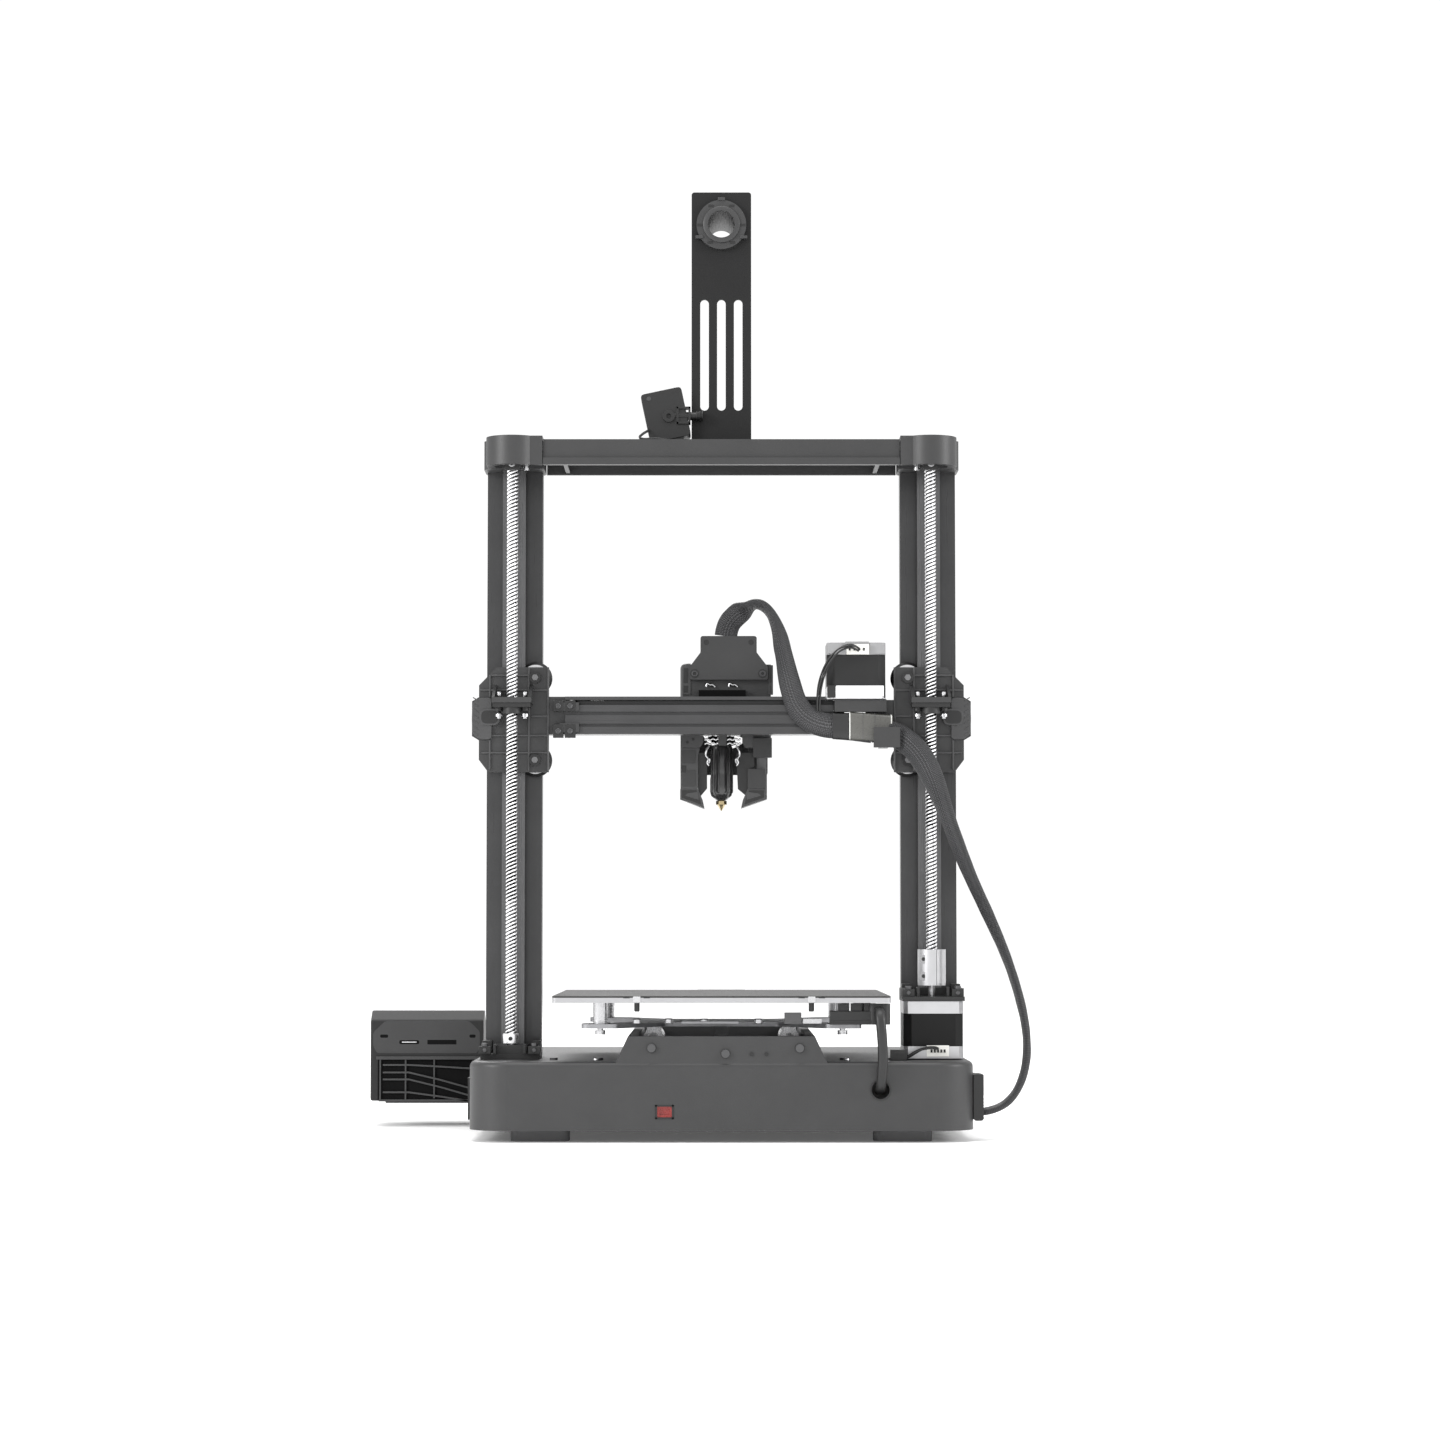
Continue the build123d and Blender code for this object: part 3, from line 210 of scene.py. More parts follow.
# Light alloy of the lower motor cap, lifted near white as a painted reflection of the studio.
CAP_ALLOY_AND_SHEEN = surface("motor_cap_alloy_and_painted_sheen", (0.82, 0.82, 0.83), 0.4, metal=0.1, grain=900, height=0.00004)
PLATE_EDGE = surface("bed_plate_edge", (0.42, 0.42, 0.43), 0.35, metal=0.8, vary=0.05, grain=1500,
                     height=0.00002)
KNOB = surface("knob_metal", (0.2, 0.2, 0.21), 0.32, metal=0.9)
CLIP = surface("spring_clip", (0.66, 0.66, 0.67), 0.2, metal=1, vary=0.04)


def braided(name, pitch):
    """Woven monofilament: two sets of strands crossing at a slant along the sleeve."""
    made, tree, shader = material(name)
    place = tree.nodes.new("ShaderNodeUVMap")
    place.uv_map = "weave"
    split = tree.nodes.new("ShaderNodeSeparateXYZ")
    tree.links.new(place.outputs["UV"], split.inputs["Vector"])
    waves = []
    for way in (1, -1):
        mixed = tree.nodes.new("ShaderNodeMath")
        mixed.operation = "MULTIPLY_ADD"
        mixed.inputs[1].default_value = way * 1.25
        tree.links.new(split.outputs["X"], mixed.inputs[0])
        tree.links.new(split.outputs["Y"], mixed.inputs[2])
        scaled = tree.nodes.new("ShaderNodeMath")
        scaled.operation = "MULTIPLY"
        scaled.inputs[1].default_value = 2 * math.pi / pitch
        tree.links.new(mixed.outputs[0], scaled.inputs[0])
        wave = tree.nodes.new("ShaderNodeMath")
        wave.operation = "SINE"
        tree.links.new(scaled.outputs[0], wave.inputs[0])
        waves.append(wave.outputs[0])
    cross = tree.nodes.new("ShaderNodeMath")
    cross.operation = "MAXIMUM"
    tree.links.new(waves[0], cross.inputs[0])
    tree.links.new(waves[1], cross.inputs[1])
    product = tree.nodes.new("ShaderNodeMath")
    product.operation = "MULTIPLY"
    tree.links.new(waves[0], product.inputs[0])
    tree.links.new(waves[1], product.inputs[1])
    mix = tree.nodes.new("ShaderNodeMix")
    mix.data_type = "RGBA"
    mix.inputs["A"].default_value = (0.010, 0.010, 0.011, 1)
    mix.inputs["B"].default_value = (0.085, 0.085, 0.09, 1)
    tree.links.new(spread(tree, product.outputs[0], 0, 1, 0.1, 0.9), mix.inputs["Factor"])
    tree.links.new(mix.outputs["Result"], shader.inputs["Base Color"])
    tree.links.new(spread(tree, noise(tree, 900), 0.38, 0.6), shader.inputs["Roughness"])
    bump(tree, shader, cross.outputs[0], 0.0003, 0.8)
    return made


BRAID = braided("braided_sleeve", 0.0024)


# ---------------------------------------------------------------- mesh helpers

def finish_mesh(name, bm, finish, body, edge=0.0, smooth=35):
    """Make an object of a mesh, soften its edges, and let it ride on a body."""
    bmesh.ops.recalc_face_normals(bm, faces=bm.faces)
    mesh = bpy.data.meshes.new(name)
    bm.to_mesh(mesh)
    bm.free()
    piece = bpy.data.objects.new(name, mesh)
    bpy.context.scene.collection.objects.link(piece)
    for one in finish if isinstance(finish, (list, tuple)) else [finish]:
        mesh.materials.append(one)
    soften(piece, edge, smooth)
    if body:
        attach(piece, body)
    return piece


def soften(piece, edge, smooth):
    mesh = piece.data
    mesh.polygons.foreach_set("use_smooth", [True] * len(mesh.polygons))
    mesh.set_sharp_from_angle(angle=math.radians(smooth))
    if edge:
        round_off = piece.modifiers.new("edge", "BEVEL")
        round_off.width = edge * MM
        round_off.segments = 2
        round_off.limit_method = "ANGLE"
        round_off.angle_limit = math.radians(50)
        round_off.harden_normals = True


def box(bm, low, high, mark=0):
    """A box between two corners in machine millimetres."""
    corners = [at(x, y, z) for x in (low[0], high[0]) for y in (low[1], high[1])
               for z in (low[2], high[2])]
    spots = [bm.verts.new(c) for c in corners]
    for loop in ((0, 1, 3, 2), (4, 6, 7, 5), (0, 4, 5, 1), (2, 3, 7, 6), (0, 2, 6, 4), (1, 5, 7, 3)):
        face = bm.faces.new([spots[i] for i in loop])
        face.material_index = mark


def turn_to(axis):
    """The rotation that lays a turned shape's Z along an axis given by name."""
    return {"x": Matrix.Rotation(math.pi / 2, 3, "Y"), "y": Matrix.Rotation(-math.pi / 2, 3, "X"),
            "z": Matrix.Identity(3)}[axis]


def lathe(bm, profile, centre, axis="z", steps=40, mark=0):
    """Turn a profile of (radius, height) in millimetres about an axis through a point."""
    spin = turn_to(axis)
    middle = at(*centre)
    rings = []
    for radius, height in profile:
        ring = []
        if radius < 1e-6:
            ring = [bm.verts.new(middle + spin @ Vector((0, 0, height * MM)))] * steps
        else:
            for k in range(steps):
                a = 2 * math.pi * k / steps
                local = Vector((radius * math.cos(a), radius * math.sin(a), height)) * MM
                ring.append(bm.verts.new(middle + spin @ local))
        rings.append(ring)
    for low, high in zip(rings, rings[1:]):
        for k in range(steps):
            n = (k + 1) % steps
            quad = []
            for v in (low[k], low[n], high[n], high[k]):
                if v not in quad:
                    quad.append(v)
            if len(quad) > 2:
                face = bm.faces.new(quad)
                face.material_index = mark


def prism(bm, outline, start, stop, axis="y", mark=0):
    """Extrude an outline of two coordinates along the remaining axis, in machine millimetres."""
    def place(u, v, w):
        return {"x": at(w, u, v), "y": at(u, w, v), "z": at(u, v, w)}[axis]
    ends = [[bm.verts.new(place(u, v, w)) for u, v in outline] for w in (start, stop)]
    count = len(outline)
    faces = [bm.faces.new(ends[0]), bm.faces.new(list(reversed(ends[1])))]
    for k in range(count):
        n = (k + 1) % count
        faces.append(bm.faces.new((ends[0][k], ends[0][n], ends[1][n], ends[1][k])))
    for face in faces:
        face.material_index = mark


def rounded(outline, radius, steps=5):
    """Round every corner of an outline by an arc."""
    out = []
    count = len(outline)
    for k, here in enumerate(outline):
        before, after = Vector(outline[k - 1]), Vector(outline[(k + 1) % count])
        here = Vector(here)
        a, b = (before - here), (after - here)
        r = min(radius, a.length * 0.45, b.length * 0.45)
        start, stop = here + a.normalized() * r, here + b.normalized() * r
        for s in range(steps + 1):
            t = s / steps
            out.append(tuple(start * (1 - t) ** 2 + here * 2 * t * (1 - t) + stop * t ** 2))
    return out


def cap_screw(bm, centre, axis, way, radius=2.6, tall=2.4, mark=0):
    """A socket-head screw whose head stands out along an axis, with its hexagonal recess."""
    w = way
    lathe(bm, [(0, 0), (radius * 0.92, 0), (radius, 0.25 * w), (radius, (tall - 0.3) * w),
               (radius * 0.88, tall * w), (radius * 0.56, tall * w)], centre, axis, 24, mark)
    lathe(bm, [(radius * 0.56, tall * w), (radius * 0.5, (tall - 1.2) * w), (0, (tall - 1.3) * w)],
          centre, axis, 6, mark)


def curve_tube(name, points, radius, finish, order=3):
    """A curve of one NURBS spline in metres with a round bevel."""
    curve = bpy.data.curves.new(name, "CURVE")
    curve.dimensions = "3D"
    curve.resolution_u = 12
    curve.bevel_depth = radius * MM
    curve.bevel_resolution = 4
    curve.use_fill_caps = True
    line = curve.splines.new("NURBS")
    line.points.add(len(points) - 1)
    for spot, here in zip(line.points, points):
        spot.co = (*here, 1)
    line.order_u = order
    line.use_endpoint_u = True
    curve.materials.append(finish)
    piece = bpy.data.objects.new(name, curve)
    bpy.context.scene.collection.objects.link(piece)
    return piece


def read_line(points):
    """Points along the smooth spline that a route's own points control."""
    guide = curve_tube("guide", points, 0, CABLE)
    guide.data.use_fill_caps = False
    mesh = bpy.data.meshes.new_from_object(guide)
    line = [v.co.copy() for v in mesh.vertices]
    bpy.data.objects.remove(guide)
    bpy.data.meshes.remove(mesh)
    return line


def blend_stops(stops, share):
    """Read a value between stops of (share, value), eased from one stop to the next."""
    for (a, low), (b, high) in zip(stops, stops[1:]):
        if share <= b:
            t = max(0.0, (share - a) / (b - a))
            return low + (high - low) * (3 * t * t - 2 * t ** 3)
    return stops[-1][1]


def flat_sleeve(name, line, wide, thick, finish, turns=((0, 0), (1, 0)), steps=36):
    """A flat sleeve swept along a line. Its width and its twist in degrees are given by stops."""
    bm = bmesh.new()
    weave = bm.loops.layers.uv.new("weave")
    total = path_length(line)
    girth = 2 * (wide[0][1] + thick) * MM
    rings, lengths, run = [], [], 0.0
    for k, here in enumerate(line):
        along = (line[min(k + 1, len(line) - 1)] - line[max(k - 1, 0)]).normalized()
        if k:
            run += (here - line[k - 1]).length
        lengths.append(run)
        share = run / total
        across = along.cross(Vector((0, 1, 0))).normalized()
        spin = Matrix.Rotation(math.radians(blend_stops(turns, share)), 3, along)
        across = spin @ across
        deep = across.cross(along).normalized()
        half = blend_stops(wide, share) / 2 * MM
        swell = thick / 2 * MM * (1 + 0.05 * math.sin(run * 260) * math.sin(run * 97 + 1))
        ring = []
        for s in range(steps):
            c, d = math.cos(2 * math.pi * s / steps), math.sin(2 * math.pi * s / steps)
            ring.append(bm.verts.new(here + across * math.copysign(abs(c) ** 0.62, c) * half
                                     + deep * math.copysign(abs(d) ** 0.8, d) * swell))
        rings.append(ring)
    for k, (low, high) in enumerate(zip(rings, rings[1:])):
        for s in range(steps):
            n = (s + 1) % steps
            face = bm.faces.new((low[s], low[n], high[n], high[s]))
            for loop, (u, v) in zip(face.loops, ((s, k), (s + 1, k), (s + 1, k + 1), (s, k + 1))):
                loop[weave].uv = (u / steps * girth, lengths[v])
    bm.faces.new(list(reversed(rings[0])))
    bm.faces.new(rings[-1])
    return finish_mesh(name, bm, finish, None, smooth=60)


def path_length(line):
    return sum((b - a).length for a, b in zip(line, line[1:]))


# ---------------------------------------------------------------- camera and cords

VIEW_FROM = at(1.0, 2593.0, 153.3)
PITCH_UP = math.radians(3.21)
LENS = 89.75


def make_camera():
    camera = bpy.data.objects.new("camera", bpy.data.cameras.new("camera"))
    camera.data.lens = LENS
    camera.data.sensor_width = 36
    camera.data.clip_end = 50
    camera.location = VIEW_FROM
    camera.rotation_euler = (math.pi / 2 + PITCH_UP, 0, math.pi)
    bpy.context.scene.collection.objects.link(camera)
    bpy.context.scene.camera = camera


HARNESS_UPPER = [(-3.3, -11.8, 360.5), (-4.2, -11, 368.6), (-12, -6.5, 376.5), (-22.5, -0.5, 383.5),
                 (-33, 6.5, 380), (-40, 15, 366), (-44.5, 23, 346), (-48.5, 27.5, 324),
                 (-55, 28, 303.5), (-69, 28, 293.5), (-89, 28, 292.4), (-108, 28, 290)]
HARNESS_LOWER = [(-108.6, 28, 290), (-124, 28.6, 288), (-138, 38.5, 277), (-148, 52, 259.5),
                 (-156, 55, 238), (-164.5, 56.5, 213), (-175, 57.5, 186), (-188, 58, 158),
                 (-200, 58, 131), (-209, 58, 104), (-215, 58, 77), (-215, 58, 53),
                 (-208, 58, 33), (-195.5, 58, 21.5), (-184.2, 58, 19.8)]
BED_CABLE = [(-109.6, 92.5, 90.5), (-109.6, 98.2, 90.5), (-109.8, 102.6, 87.6),
             (-110.4, 104.6, 80.5), (-111.2, 104.6, 71), (-111.6, 103.8, 60), (-111.3, 102.2, 49.5),
             (-110.7, 98.2, 41.5), (-110.4, 92, 37.6), (-110.4, 84.5, 36.4)]
X_LEADS = [(-97.5, 39.1, 347), (-96, 42, 348.2), (-90.5, 44.5, 349.5), (-82, 43, 345.5),
           (-75, 39.5, 336), (-70.5, 35.5, 323.5), (-69.2, 31.5, 311), (-69.6, 29.5, 303.4)]
SENSOR_LEAD = [(52, 18.6, 507), (53, 22, 506.2), (57, 25.5, 503.2), (59.5, 29.5, 499.9),
               (54.5, 33, 498.7), (46.5, 34.6, 499), (39.5, 34, 498.2)]
Z_LEAD = [(-152, 59.6, 64), (-150.5, 64, 64.6), (-146, 67.5, 65), (-140, 69, 64),
          (-135, 68.8, 61.2), (-130.5, 68, 58.1), (-124.2, 67.4, 57.6)]


def bundle(name, line, count, offset, radius, finish):
    """Several thin wires beside each other along one line."""
    bm = bmesh.new()
    steps = 10
    for wire in range(count):
        turn0 = 2 * math.pi * wire / count
        rings = []
        for k, here in enumerate(line):
            along = (line[min(k + 1, len(line) - 1)] - line[max(k - 1, 0)]).normalized()
            side = along.cross(Vector((0.3, 0.2, 0.93))).normalized()
            other = along.cross(side)
            share = k / (len(line) - 1)
            turn = turn0 + share * 2.2
            centre = here + (side * math.cos(turn) + other * math.sin(turn)) * offset * MM
            rings.append([bm.verts.new(centre + (side * math.cos(2 * math.pi * s / steps)
                                                 + other * math.sin(2 * math.pi * s / steps))
                                       * radius * MM) for s in range(steps)])
        for low, high in zip(rings, rings[1:]):
            for s in range(steps):
                n = (s + 1) % steps
                bm.faces.new((low[s], low[n], high[n], high[s]))
        bm.faces.new(list(reversed(rings[0])))
        bm.faces.new(rings[-1])
    return finish_mesh(name, bm, finish, None, smooth=60)


def make_cords():
    upper_route = [at(*p) for p in HARNESS_UPPER]
    upper = read_line(upper_route)
    turns = ((0, 0), (0.1, 10), (0.18, 80), (0.26, 80), (0.45, 52), (0.62, 30), (0.8, 0), (1, 0))
    sleeve = flat_sleeve("harness_upper_sleeve", upper, ((0, 16.5), (0.75, 17.5), (1, 19)), 5.4, BRAID,
                         turns)
    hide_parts("harness_upper")
    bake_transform(sleeve)

    lower_route = [at(*p) for p in HARNESS_LOWER]
    lower = read_line(lower_route)
    turns = ((0, 0), (0.12, 20), (0.3, 62), (0.5, 72), (0.65, 82), (0.8, 87), (1, 88))
    sleeve = flat_sleeve("harness_lower_sleeve", lower, ((0, 18), (1, 16)), 5.0, BRAID, turns)
    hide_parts("harness_lower")
    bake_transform(sleeve)

    route = [at(*p) for p in BED_CABLE]
    line = read_line(route)
    cable = flat_sleeve("bed_cable_skin", line, ((0, 7.0), (1, 7.0)), 6.8, CABLE)
    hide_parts("bed_cable")
    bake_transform(cable)

    line = read_line([at(*p) for p in X_LEADS])
    wires = bundle("x_motor_wires", line, 4, 1.3, 0.62, CABLE)
    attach(wires, "gantry")
    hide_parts("x_motor_leads")

    line = read_line([at(*p) for p in SENSOR_LEAD])
    wires = bundle("sensor_wires", line, 3, 0.55, 0.5, CABLE)
    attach(wires, "root")
    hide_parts("frame_leads")

    line = read_line([at(*p) for p in Z_LEAD])
    wires = bundle("z_motor_wires", line, 4, 0.7, 0.55, CABLE)
    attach(wires, "root")


# ---------------------------------------------------------------- carried-over CAD nodes

NODE_FINISH = {
    "base_shell": PLASTIC, "base_bottom_plate": POWDER, "feet": RUBBER, "uprights": ANODISED,
    "top_beam": POWDER, "top_caps": PLASTIC, "frame_belts": BELT, "spool_bracket": BRACKET_COAT,
    "spool_hub": PLASTIC, "frame_motors": MOTOR_DARK,
    "z_foot_brackets": DARK_PLASTIC, "power_supply": SUPPLY, "mainboard": BOARD,
    "power_inlet": DARK_PLASTIC, "voltage_selector": RED, "y_rods": STEEL,
    "display_bracket": DISPLAY_PLASTIC, "display_housing": DISPLAY_PLASTIC, "display_screen": SCREEN,
    "harness_connector": DARK_PLASTIC, "frame_screws": DARK_SCREW, "power_switch": RED,
    "board_fan_rotor": DARK_PLASTIC, "y_pulley": ALUMINIUM, "knob_shaft": STEEL,
    "display_knob": KNOB, "z_screw_left": STEEL, "z_screw_right": STEEL, "z_coupler": ALUMINIUM,
    "y_carriage_plate": CARRIAGE_STEEL, "bed_plate": PLATE_EDGE, "bed_sheet": SHEET,
    "bed_posts": SCREW_STEEL, "y_bearings": STEEL, "bed_connector": DARK_PLASTIC,
    "z_carriages": PLASTIC_SIDE, "z_nuts": DARK_PLASTIC, "z_wheels": WHEEL, "x_beam": ANODISED_X,
    "x_motor": MOTOR_BLACK, "x_belt": BELT, "harness_clamp": POWDER, "x_pulley": ALUMINIUM,
    "x_carriage": POWDER, "toolhead_shroud": SHROUD_AND_RIB_HIGHLIGHT, "cable_cover": PLASTIC, "hotend": ALUMINIUM,
    "extruder": DARK_PLASTIC, "probe": GREY_PLASTIC, "hotend_fan_rotor": DARK_PLASTIC,
    "blower_rotor": DARK_PLASTIC, "drive_gear": STEEL, "feed_lever": GREY_PLASTIC,
    "probe_pin": STEEL,
}
SOFT_EDGES = {"base_shell": 0.8, "top_beam": 0.5, "top_caps": 1.6, "spool_bracket": 0.3,
              "spool_hub": 0.6, "z_carriages": 0.5, "display_housing": 0.5, "toolhead_shroud": 0.6,
              "cable_cover": 0.5, "harness_connector": 0.5, "bed_connector": 0.5, "probe": 0.4,
              "x_motor": 0.4, "frame_motors": 0.4, "z_coupler": 0.4, "y_carriage_plate": 0.4,
              "filament_sensor": 0.5, "z_foot_brackets": 0.5, "uprights": 0.4, "x_beam": 0.3}


def dress_nodes():
    for name, finish in NODE_FINISH.items():
        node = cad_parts[name]
        node.data.materials.clear()
        node.data.materials.append(finish)
        soften(node, SOFT_EDGES.get(name, 0), 30)


def paint(name, finish, inside):
    """Give the faces of a CAD node that inside() picks, by centre in machine millimetres, a finish."""
    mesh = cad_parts[name].data
    mesh.materials.append(finish)
    index = len(mesh.materials) - 1
    for face in mesh.polygons:
        c = face.center
        if inside((c.x - CENTRE_X) / MM, (c.y - CENTRE_Y) / MM, c.z / MM):
            face.material_index = index


def paint_nodes():
    paint("x_motor", CAST, lambda x, y, z: z > 343.6 and y < 34.3)
    # The lower cap's near-white is partly its light alloy, partly painted reflection.
    paint("x_motor", CAP_ALLOY_AND_SHEEN, lambda x, y, z: z < 321)
    # Painted shade on the X carriage's upper rear faces.
    paint("x_carriage", PAINTED_SHADE, lambda x, y, z: y > -8.9 and z > 314)
    paint("x_motor", WHITE_PLASTIC, lambda x, y, z: y > 34.3)
    paint("frame_motors", ALUMINIUM, lambda x, y, z: x < -100 and (z > 88.4 or z < 65.6))
    paint("frame_motors", ALUMINIUM, lambda x, y, z: x > -100 and (x < 20 or x > 41))
    # Painted highlight: the rail faces take the lighter copy of the anodising.
    paint("uprights", RAIL_HIGHLIGHT, lambda x, y, z: y > 15.5)

make_camera()
make_cords()
dress_nodes()
paint_nodes()


# ---------------------------------------------------------------- lead screws

LEAD = 8.0
STARTS = 3


def add_thread(bm, x, low, high, steps=24, rise=0.333):
    """A trapezoidal thread of three starts; material 1 is its root, painted near-black as shade."""
    rings = []
    for k in range(int((high - low) / rise) + 1):
        z = low + k * rise
        ring = []
        for s in range(steps):
            a = 2 * math.pi * s / steps
            wave = math.cos(STARTS * (2 * math.pi * z / LEAD - a))
            r = 3.05 + 0.95 * min(1, max(0, 0.6 + 0.9 * wave))
            ring.append(bm.verts.new(at(x + r * math.cos(a), SCREW_Y + r * math.sin(a), z)))
        rings.append(ring)
    for k, (low_ring, high_ring) in enumerate(zip(rings, rings[1:])):
        for s in range(steps):
            n = (s + 1) % steps
            face = bm.faces.new((low_ring[s], low_ring[n], high_ring[n], high_ring[s]))
            middle = (low + (k + 0.5) * rise) / LEAD - (s + 0.5) / steps
            face.material_index = int(math.cos(2 * math.pi * STARTS * middle) < -0.25)
    bm.faces.new(list(reversed(rings[0])))
    bm.faces.new(rings[-1])


def add_toothed_pulley(bm, x, z, mark):
    profile = [(4, -0.6), (8.4, -0.6), (8.4, 0.4), (6.1, 0.4), (6.1, 8.0), (8.4, 8.0), (8.4, 9.0), (4, 9.0)]
    lathe(bm, profile, (x, SCREW_Y, z), "z", 40, mark)


def make_lead_screws():
    for side, low, node, body in ((1, 61.0, "z_screw_right", "screw_right"),
                                  (-1, 113.0, "z_screw_left", "screw_left")):
        x = side * UPRIGHT_X
        bm = bmesh.new()
        add_thread(bm, x, low, 491.8)
        screw = finish_mesh(node + "_thread", bm, [THREAD, THREAD_ROOT_SHADE], body, smooth=50)
        bm = bmesh.new()
        add_toothed_pulley(bm, x, 480.6, 0)
        if side > 0:
            lathe(bm, [(4.05, 66.7), (5.3, 66.7), (5.75, 67.1), (5.75, 73.5), (5.3, 74), (4.05, 74)],
                  (x, SCREW_Y, 0), "z", 40, 0)
            lathe(bm, [(0, 5.5), (1.5, 5.5), (1.5, 5.8), (0, 5.8)], (x, SCREW_Y, 70.4), "y", 16, 1)
        finish_mesh(node + "_pulley", bm, [BRIGHT, DARK_PLASTIC], body, 0.15)
        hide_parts(node)

    bm = bmesh.new()
    for z in (114.6, 126.6):
        lathe(bm, [(0, 0), (2.9, 0), (3.1, 0.25), (3.1, 0.9), (0, 0.9)],
              (-UPRIGHT_X + 6.2, SCREW_Y + 7.6, z), "y", 28, 0)
        lathe(bm, [(0, 0.92), (1.5, 0.92), (1.5, 0.96), (0, 0.96)],
              (-UPRIGHT_X + 6.2, SCREW_Y + 7.6, z), "y", 6, 1)
    box(bm, (-UPRIGHT_X - 3.1, SCREW_Y + 9.2, 108.2), (-UPRIGHT_X - 2.4, SCREW_Y + 9.6, 133.2), 1)
    finish_mesh("coupler_screws", bm, [CAST, DARK_PLASTIC], "screw_left")


# ---------------------------------------------------------------- Z carriages

def make_carriage_details():
    ribs, bolts, rings, nuts = bmesh.new(), bmesh.new(), bmesh.new(), bmesh.new()
    for out in (1, -1):
        x = out * UPRIGHT_X
        for z, inner, outer in ((319.0, -24.5, 23.8), (300.2, -24.5, -13), (286.3, -24.5, 23.8),
                                (274.0, -24.5, 23), (329.6, -12, 16)):
            x0, x1 = sorted((x + out * inner, x + out * outer))
            box(ribs, (x0, 20.7, z - 0.6), (x1, 22.3, z + 0.6))
        for dx, z0, z1 in ((4.6, 261, 308.7), (4.6, 312.5, 333), (-11.2, 261, 335), (-24.9, 261, 335),
                           (16.8, 262, 283), (16.8, 314, 330)):
            box(ribs, (x + out * dx - 0.6, 20.7, z0), (x + out * dx + 0.6, 22.5, z1))
        bulge = [(15.5, 283.6), (24.2, 283.6), (29.2, 287.4), (29.7, 298.4), (29.2, 309.6),
                 (24.2, 313.4), (15.5, 313.4)]
        prism(ribs, [(x + out * dx, z) for dx, z in rounded(bulge, 2.5)], 20.7, 23.6, "y")
        slot = rounded([(9.6, 293.6), (24, 293.6), (24, 305.4), (9.6, 305.4)], 5, 8)
        prism(ribs, [(x + out * dx, z) for dx, z in slot], 20.7, 24.4, "y")
        inset = rounded([(10.8, 294.8), (22.8, 294.8), (22.8, 304.2), (10.8, 304.2)], 4, 8)
        prism(bolts, [(x + out * dx, z) for dx, z in inset], 24.3, 24.45, "y", 1)
        for k in range(7):
            z = 286.2 + k * 4.1
            prism(ribs, [(x + out * 25.0, z), (x + out * 28.9, z + 2.4), (x + out * 28.9, z + 3.3),
                         (x + out * 25.0, z + 0.9)], 23.5, 24.0, "y")
        for dx, z in ((-15.6, 268.8), (-15.6, 328.0), (15.7, 298.4)):
            if dx < 0:
                lathe(bolts, [(2.9, 24.2), (4.1, 24.2), (4.1, 24.7), (2.9, 24.7), (2.9, 24.2)],
                      (x + out * dx, 0, z), "y", 28, 1)
                lathe(bolts, [(0, 24.2), (2.5, 24.2), (2.3, 24.9), (0, 24.9)],
                      (x + out * dx, 0, z), "y", 6, 0)
            lathe(rings, [(5.6, 14.5), (9.7, 14.5), (9.7, 14.9), (5.6, 14.9), (5.6, 14.5)],
                  (x + out * dx, 0, z), "y", 48, 0)
        for dx in (-9.2, 9.2):
            lathe(nuts, [(0, 297.6), (1.5, 297.6), (1.5, 300.9)], (x + dx, SCREW_Y, 0), "z", 16)
            lathe(nuts, [(2.5, 300.9), (2.7, 299.0), (0, 299.0)], (x + dx, SCREW_Y, 0), "z", 20)
            lathe(nuts, [(1.5, 312.4), (1.5, 316.6), (0, 316.9)], (x + dx, SCREW_Y, 0), "z", 16)
    # The ribs take the lighter shroud finish, a painted highlight on their edges against the darker
    # carriage.
    finish_mesh("carriage_ribs", ribs, SHROUD_AND_RIB_HIGHLIGHT, "gantry", 0.25)
    finish_mesh("carriage_bolts", bolts, [GREY_PLASTIC, DARK_PLASTIC], "gantry")
    finish_mesh("wheel_bearings", rings, STEEL, "gantry")
    finish_mesh("nut_screws", nuts, SCREW_STEEL, "gantry")


# ---------------------------------------------------------------- X drive

